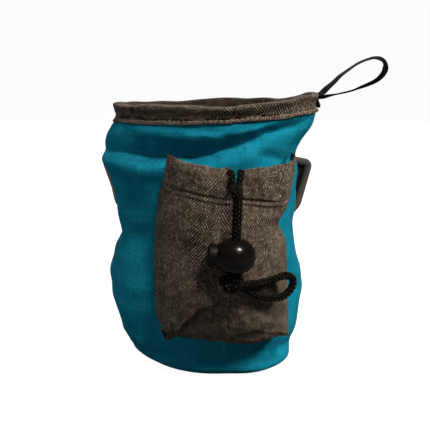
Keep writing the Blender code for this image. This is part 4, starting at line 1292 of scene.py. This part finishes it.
def make_casing(tweed, side, word):
    """One side of the casing: cloth turned over the cord, from the seam in front to the seam behind."""
    closed = np.array((*CASING, CASING[0]))
    section = curve_through(np.concatenate((closed, np.zeros((len(closed), 1))), 1), 0.55)[:-1, :2]
    ahead, rise = section[:, 0], section[:, 1]
    half, centre = curve_values(POCKET_STATIONS, rise, (1, 2))
    gap = 0.5 + 2.3 * smooth_step((rise - 121.0) / 13.0)
    outside = centre + side * half
    inside = SLIT_X + side * gap
    near, middle, far = np.linspace(0, 0.06, 5)[:-1], np.linspace(0.06, 0.94, 84), np.linspace(0.94, 1, 5)[1:]
    q = np.concatenate((near, middle, far))
    first, last = (outside, inside) if side < 0 else (inside, outside)
    x = first[None, :] + (last - first)[None, :] * q[:, None]
    z = np.broadcast_to(rise[None, :], x.shape)
    on_front = smooth_step((ahead + 1.0) / 1.5)[None, :]
    ease = smooth_step((z - 118.0) / 8.0)
    y = pocket_face(x, np.minimum(z, SEAM_LEVEL)) * (1 - ease) + (pocket_front(x, z)) * ease
    ends = np.minimum(1.0, np.minimum(q, 1 - q) / 0.05)[:, None] ** 0.5
    reach = ahead[None, :] * (0.35 + 0.65 * ends)
    wrinkle = add_creases(0.4 * waves(51, 16, x * 1.6, z, 6.0, 24.0), CASING_CREASES, x, z)
    y = y - reach + wrinkle * on_front * smooth_step((z - 118.5) / 4)
    crest = 0.35 * waves(52, 8, x[:, :1], x[:, :1] * 0, 9, 30) * smooth_step((z - 127) / 8)
    grid = raise_hem(np.stack((x, y, z + crest), -1))
    rows, columns = x.shape
    # The weave starts at a place of its own, so that it doesn't repeat the panel's
    around = summed(np.hypot(np.diff(ahead), np.diff(rise)))[None, :] + 17.3
    length = step_sums(grid[:, CASING_MIDDLE])[:, None] + 75.0
    uvs = cloth_uvs(np.broadcast_to(around, x.shape), np.broadcast_to(length, x.shape))
    faces = grid_faces(rows, columns, False, True) + end_caps(rows, columns)
    hem = mesh_object(f"pocket_hem_{word}", grid.reshape(-1, 3), faces, uvs)
    dress(hem, tweed, f"pocket_casing_{word}", body=None)
    pin(hem)


def make_pocket(tweed, thread):
    """The panel, both sides of the casing and the stitched seam between them."""
    make_pocket_panel(tweed)
    make_casing(tweed, -1, "left")
    make_casing(tweed, 1, "right")
    path = seam_path()
    path[:, 1] += 0.25
    row = stitch_row("pocket_seam_stitches", path, (0, -1.0, 0), 2.0, 0.8, 0.22)
    dress(row, thread, body=None)
    pin(row)


def pin(piece):
    """Bakes a pocket piece's transform into its mesh."""
    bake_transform(piece)


# ---- Belt ----
BELT_X = np.array((math.cos(BELT_TILT), 0.0, -math.sin(BELT_TILT)))
BELT_Z = np.array((math.sin(BELT_TILT), 0.0, math.cos(BELT_TILT)))
# How far behind the pouch's middle each layer lies, and the places of the folds and the buckle's mouth
LAYER_A, LAYER_B, LAYER_C, BUCKLE_Y = 60.2, 64.0, 66.2, 73.4
LAYER_D = BUCKLE_Y - 2.8
MOUTH_X = 20.0
BELT_LEFT, BELT_RIGHT = -46.0, 86.0
WEBBING_THICK, WEBBING_WIDTH = 1.6, 38.0
LOOP_PLACE = 18.0


def belt_points(x, y, z):
    x, y, z = np.broadcast_arrays(*(np.asarray(k, float) for k in (x, y, z)))
    made = x[..., None] * BELT_X + z[..., None] * BELT_Z
    made[..., 1] += y
    made[..., 2] += BELT_HEIGHT
    return made


def arc(centre, radius, start, stop, steps):
    angles = np.radians(np.linspace(start, stop, steps))
    return [(centre[0] + radius * math.cos(a), centre[1] + radius * math.sin(a)) for a in angles]


def bar_wrap(bar_x, side):
    """The strap's end where it turns round a bar of the buckle and lies back on itself."""
    over = 2 * BUCKLE_Y - LAYER_D
    rise = over - BUCKLE_Y
    sewn_end = [(bar_x + side * 9.6, LAYER_D + WEBBING_THICK + 0.5), (bar_x + side * 5.5, over - 0.9)]
    turn = arc((bar_x - side * 0.6, BUCKLE_Y), rise, 90, 90 + side * 180, 13)
    return sewn_end + [(bar_x + side * 2.5, over)] + turn


def strap_piece(name, path):
    """A strap along a path of places and depths in the belt's frame."""
    flat = [path[0]]
    for point in path[1:]:
        last = flat[-1]
        steps = max(1, int(math.hypot(point[0] - last[0], point[1] - last[1]) / 1.6))
        start = np.array(last)
        flat += [tuple(start + (np.array(point) - start) * (k + 1) / steps) for k in range(steps)]
    flat = np.array(flat)
    points = belt_points(flat[:, 0], flat[:, 1], 0.0)
    grid = strip_grid(points, BELT_Z, WEBBING_WIDTH, WEBBING_THICK, edge=0.8, count=13)
    return capped(name, grid)


def make_belt(webbing):
    """The folded belt, as an inner strap piece on the belt's body and an outer one that rides on no body."""
    outer_fold = (LAYER_D - LAYER_A) / 2
    path = bar_wrap(MOUTH_X - 45.0, -1)
    path += arc((BELT_LEFT, LAYER_A + outer_fold), outer_fold, 90, 270, 17)
    path += arc((BELT_RIGHT, LAYER_A + (LAYER_B - LAYER_A) / 2), (LAYER_B - LAYER_A) / 2, -90, 90, 13)
    path += arc((BELT_LEFT + 3.5, LAYER_B + (LAYER_C - LAYER_B) / 2), (LAYER_C - LAYER_B) / 2, 270, 90, 11)
    inner = strap_piece("belt_strap_inner", path + [(BELT_LEFT + 5.0, LAYER_C)])
    dress(inner, webbing, "belt_webbing", "belt")
    path = [(BELT_LEFT + 4.0, LAYER_C)]
    path += arc((BELT_RIGHT, LAYER_C + (LAYER_D - LAYER_C) / 2), (LAYER_D - LAYER_C) / 2, -90, 90, 13)
    path += list(reversed(bar_wrap(MOUTH_X + 21.5, 1)))
    outer = strap_piece("belt_strap_outer", path)
    dress(outer, webbing, body=None)
    start, end = (belt_points(x, LAYER_C, 0.0) for x in (BELT_LEFT + 5.0, MOUTH_X + 14.0))
    blend_along(outer)


def make_slider(plastic):
    """A slider with crowned rails: its far corners are rounder than its near ones."""
    low, high = np.array((63.9, -22.4)), np.array((91.9, 24.4))
    outline = []
    corners = ((1, 0, 270, 13.0), (1, 1, 0, 6.5), (0, 1, 90, 5.0), (0, 0, 180, 8.0))
    for corner_x, corner_z, start, radius in corners:
        x = high[0] - radius if corner_x else low[0] + radius
        z = high[1] - radius if corner_z else low[1] + radius
        outline += arc((x, z), radius, start, start + 90, 12)
    outline = np.array(outline)
    outline[:, 0] += (outline[:, 1] - high[1]) * math.tan(math.radians(3))
    middle = (low + high) / 2
    ways = np.roll(outline, -1, axis=0) - np.roll(outline, 1, axis=0)
    inwards = np.stack((-ways[:, 1], ways[:, 0]), 1) / np.linalg.norm(ways, axis=1)[:, None]
    section = [(0.0, 1.3), (0.05, 0.7), (0.5, 0.2), (1.5, -0.35), (2.8, -0.6), (4.1, -0.35), (5.1, 0.2),
               (5.55, 0.7), (5.6, 1.3), (5.5, 2.3), (5.0, 2.7), (2.8, 2.8), (0.6, 2.7), (0.1, 2.3)]
    front = LAYER_A - 4.0
    grid = np.empty((len(outline), len(section), 3))
    for k, (inset, depth) in enumerate(section):
        ring = outline + inwards * inset
        grid[:, k] = belt_points(ring[:, 0], front + depth, ring[:, 1])
    ring = grid_object("slider_ring", grid, wrap_rows=True)
    depth = LAYER_A + WEBBING_THICK / 2 + 0.4
    back, half, inner = 57.4, 22.8, 20.0
    bridge = [(-half, back), (-half, depth + 1.5), (half, depth + 1.5), (half, back), (inner, back),
              (inner, depth), (-inner, depth), (-inner, back)]
    grid = np.array([[belt_points(x, y, z) for z, y in bridge] for x in (middle[0] - 2.3, middle[0] + 2.3)])
    bar = grid_object("slider_bar", grid)
    # Each end is a bridge's outline, which three faces close
    ends = ((0, 1, 6, 7), (1, 2, 5, 6), (2, 3, 4, 5))
    clean_faces(bar.data, extra=[tuple(base + k for k in face) for base in (0, 8) for face in ends])
    round_edges(bar, 0.5, 40)
    apply_modifiers(bar)
    slider = joined("slider_crowned_ring", [ring, bar])
    slider.data.set_sharp_from_angle(angle=math.radians(50))
    dress(slider, plastic, "belt_slider", "slider")


def make_belt_loops(webbing, thread):
    """Two loops that stand off the back in their middle, each sewn down by a tack above and below."""
    half_width, clear_half, sewn = 10.0, 24.5, 7.0
    steps, points = 90, 40
    stand, thick = LAYER_A + WEBBING_THICK / 2 + 0.4, 1.4
    for side, word in ((-1, "left"), (1, "right")):
        place = side * LOOP_PLACE
        level = BELT_HEIGHT - place * math.tan(BELT_TILT)
        reach = clear_half + sewn
        zs = np.linspace(level - reach, level + reach, steps)
        on_wall = body_depth(np.full(steps, place), zs) + 0.7
        off = smooth_step((clear_half + 2.5 - np.abs(zs - level)) / 5.0)
        ys = on_wall + (stand - on_wall) * off + thick / 2
        path = np.stack((np.full(steps, place), ys, zs), 1)
        grid = strip_grid(path, (1.0, 0, 0), 2 * half_width, thick, edge=0.6, count=11)
        xs = grid[..., 0]
        sew = smooth_step((np.abs(grid[..., 2] - level) - clear_half + 2.5) / 5.0)
        wrap = body_depth(np.full(xs.shape, place), grid[..., 2]) - body_depth(xs, grid[..., 2])
        grid[..., 1] -= wrap * sew
        loop = capped(f"belt_loop_{word}_strap", grid)
        dress(loop, webbing, f"belt_loop_{word}")
        for end, height in ((-1, "lower"), (1, "upper")):
            middle = level + end * (reach - 2.6)
            rows = []
            for k in range(4):
                z = middle + (k - 1.5) * 0.5
                xs = place + np.linspace(-8, 8, points)
                y = body_depth(xs, np.full(points, z)) + 0.7 + thick + 0.35
                path = np.stack((xs, y, np.full(points, z) + zigzag(points, 0.12)), 1)
                rows.append(stitch_row("row", path, (0, 1.0, 0), 1.3, 0.15, 0.26))
            tack = joined(f"bar_tack_{word}_{height}_stitches", rows)
            dress(tack, thread, f"bar_tack_{word}_{height}")


def make_tag(leather):
    """A small folded tag standing out of the left side seam."""
    foot, top = 100.0, 131.0
    zs = np.linspace(foot, top, 60)
    points = wall(np.full(60, math.radians(172)), zs, 0.0)
    outline = [(-0.2, -0.9), (0.8, -0.95), (1.8, -0.95), (2.6, -0.85), (3.1, -0.45), (3.3, 0.0), (3.1, 0.45),
               (2.6, 0.85), (1.8, 0.95), (0.8, 0.95), (-0.2, 0.9)]
    outline = np.array(outline)[None]
    edge = np.clip(np.minimum(zs - foot, top - zs) / 1.5, 0, 1)[:, None] ** 0.5
    swell = 0.25 + 0.75 * np.sin(np.clip((top - zs) / (top - foot), 0, 1) ** 0.8 * math.pi) ** 0.7
    x = points[:, None, 0] - outline[..., 0] * (0.9 + 0.1 * edge) * swell[:, None]
    y = points[:, None, 1] + outline[..., 1] * (0.8 + 0.2 * edge)
    grid = np.stack((x, y, np.broadcast_to(zs[:, None], x.shape)), -1)
    tag = capped("side_tag_leather", grid)
    dress(tag, leather, "side_tag")


def finish_cad(node, material, edge):
    """Rounds a carried-over CAD node's edges and gives it its material."""
    node.data.materials.clear()
    node.data.materials.append(material)
    add_modifier(node, "WELD", merge_threshold=1e-6)
    round_edges(node, edge, 40)


# ---- Stage ----
def make_floor():
    """A floor that takes shadows, and looks white to the camera."""
    paper = Shader("pale_floor", roughness=0.95, specular=0.0)
    tint = paper.mix(paper.noise(paper.place, 6, 3), (0.07, 0.07, 0.07), (0.09, 0.09, 0.09))
    paper.finish(tint)
    glow = paper.node("Emission")
    glow.inputs[0].default_value = (1, 1, 1, 1)
    glow.inputs[1].default_value = 0.95
    pale = paper.node("BsdfDiffuse")
    pale.inputs[0].default_value = (0.26, 0.26, 0.26, 1)
    both = paper.node("AddShader")
    paper.put(both.inputs[0], pale.outputs[0])
    paper.put(both.inputs[1], glow.outputs[0])
    seen = paper.node("LightPath").outputs["Is Camera Ray"]
    chosen = paper.node("MixShader")
    paper.put(chosen.inputs[0], seen)
    paper.put(chosen.inputs[1], paper.bsdf.outputs[0])
    paper.put(chosen.inputs[2], both.outputs[0])
    paper.put(paper.tree.nodes["Material Output"].inputs[0], chosen.outputs[0])
    bpy.ops.mesh.primitive_plane_add(size=8, location=(0, 0, -0.0002))
    floor = bpy.context.object
    floor.name = "floor"
    floor.data.materials.append(paper.material)


def make_world():
    """Dim light from all round, behind a white backdrop that only the camera sees."""
    world = bpy.data.worlds.new("studio")
    bpy.context.scene.world = world
    world.use_nodes = True
    tree = world.node_tree
    background = tree.nodes["Background"]
    background.inputs[0].default_value = (0.9, 0.95, 1.0, 1)
    background.inputs[1].default_value = 0.035
    seen = tree.nodes.new("ShaderNodeBackground")
    seen.inputs[0].default_value = (0.97, 0.97, 0.97, 1)
    seen.inputs[1].default_value = 1.0
    path = tree.nodes.new("ShaderNodeLightPath")
    mixed = tree.nodes.new("ShaderNodeMixShader")
    tree.links.new(path.outputs["Is Camera Ray"], mixed.inputs[0])
    tree.links.new(background.outputs[0], mixed.inputs[1])
    tree.links.new(seen.outputs[0], mixed.inputs[2])
    tree.links.new(mixed.outputs[0], tree.nodes["World Output"].inputs[0])


# Azimuth and elevation in degrees, distance and size in metres, power in watts, and colour
LIGHTS = {
    "key": (17, 51, 1.2, 0.2, 11.8, (1.0, 0.92, 0.82)),
    "side": (60, 36, 1.2, 0.3, 15, (1.0, 0.95, 0.88)),
    "fill": (-55, 5, 1.8, 0.9, 6.0, (0.92, 0.96, 1.0)),
    "back": (170, 40, 1.8, 1.0, 16, (1.0, 0.97, 0.94)),
    "left": (-122, 30, 1.8, 0.9, 9, (0.96, 0.98, 1.0)),
}
CAMERA_AZIMUTH, CAMERA_ELEVATION, CAMERA_DISTANCE = -10, 12, 0.45


def outwards(azimuth, elevation):
    """The direction from the pouch towards a place round it."""
    a, e = math.radians(azimuth), math.radians(elevation)
    return Vector((math.sin(a) * math.cos(e), -math.cos(a) * math.cos(e), math.sin(e)))


def make_lights():
    for name, (azimuth, elevation, distance, size, power, colour) in LIGHTS.items():
        light = bpy.data.lights.new(name, "AREA")
        light.shape = "DISK"
        light.size = size
        light.energy = power
        light.color = colour
        made = linked(name, light)
        way = outwards(azimuth, elevation)
        made.location = Vector((0, 0, 0.09)) + way * distance
        made.rotation_euler = (-way).to_track_quat("-Z", "Y").to_euler()
        # Only these two show as highlights in gloss
        made.visible_glossy = name in ("key", "back")


def make_camera():
    camera = bpy.data.cameras.new("camera")
    camera.sensor_width = 36
    camera.lens = 55.5
    made = linked("camera", camera)
    a = math.radians(CAMERA_AZIMUTH)
    right = Vector((math.cos(a), math.sin(a), 0))
    back = outwards(CAMERA_AZIMUTH, CAMERA_ELEVATION)
    made.location = right * 0.007 + Vector((0, 0, 0.092)) + back * CAMERA_DISTANCE
    made.rotation_mode = "QUATERNION"
    made.rotation_quaternion = Matrix((right, back.cross(right), back)).transposed().to_quaternion()
    bpy.context.scene.camera = made
    bpy.context.scene.view_settings.view_transform = "Standard"


LOCK_BLACK = (0.0045, 0.0033, 0.0027)


def main():
    for leftover in list(bpy.data.objects):
        bpy.data.objects.remove(leftover)
    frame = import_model()
    canvas = canvas_material()
    tweed = tweed_material("grey_tweed_cloth", 1.0)
    # A darker copy of the tweed: painted shade for the lining and the rim's turned-in side, inside the pouch
    painted_shade_tweed = tweed_material("grey_tweed_painted_shade", 0.42)
    webbing = webbing_material()
    ball = plastic_material("lock_gloss_plastic", LOCK_BLACK, 0.2, 0.1, specular=0.3)
    button = plastic_material("button_dull_plastic", LOCK_BLACK, 0.48, 0.1, specular=0.2)
    buckle = plastic_material("buckle_satin_plastic", (0.02, 0.018, 0.017), 0.38, 0.5)
    slider = plastic_material("slider_satin_plastic", (0.085, 0.068, 0.062), 0.42, 0.5)
    stiffener = plastic_material("stiffener_plastic", (0.75, 0.75, 0.72), 0.4, 0.3)
    brown_thread = thread_material("brown_thread", (0.30, 0.23, 0.17))
    black_thread = thread_material("black_thread_twist", (0.012, 0.012, 0.012))
    make_outer(canvas)
    make_lining(painted_shade_tweed)
    make_rim(tweed, painted_shade_tweed, brown_thread)
    make_hoop(stiffener)
    make_ribbon(frame, ribbon_material(), black_thread)
    make_pocket(tweed, brown_thread)
    make_cords(cord_material())
    make_lock(ball, button, steel_material())
    make_belt_loops(webbing, black_thread)
    make_belt(webbing)
    make_slider(slider)
    make_tag(leather_material())
    for name in ("buckle_socket", "buckle_plug"):
        finish_cad(frame["nodes"][name], buckle, 0.4)
    for name in ("buckle_prong_upper", "buckle_prong_lower"):
        finish_cad(frame["nodes"][name], buckle, 0.3)
    finish_cad(frame["nodes"]["belt_keeper"], webbing, 0.3)
    make_floor()
    make_world()
    make_lights()
    make_camera()


main()
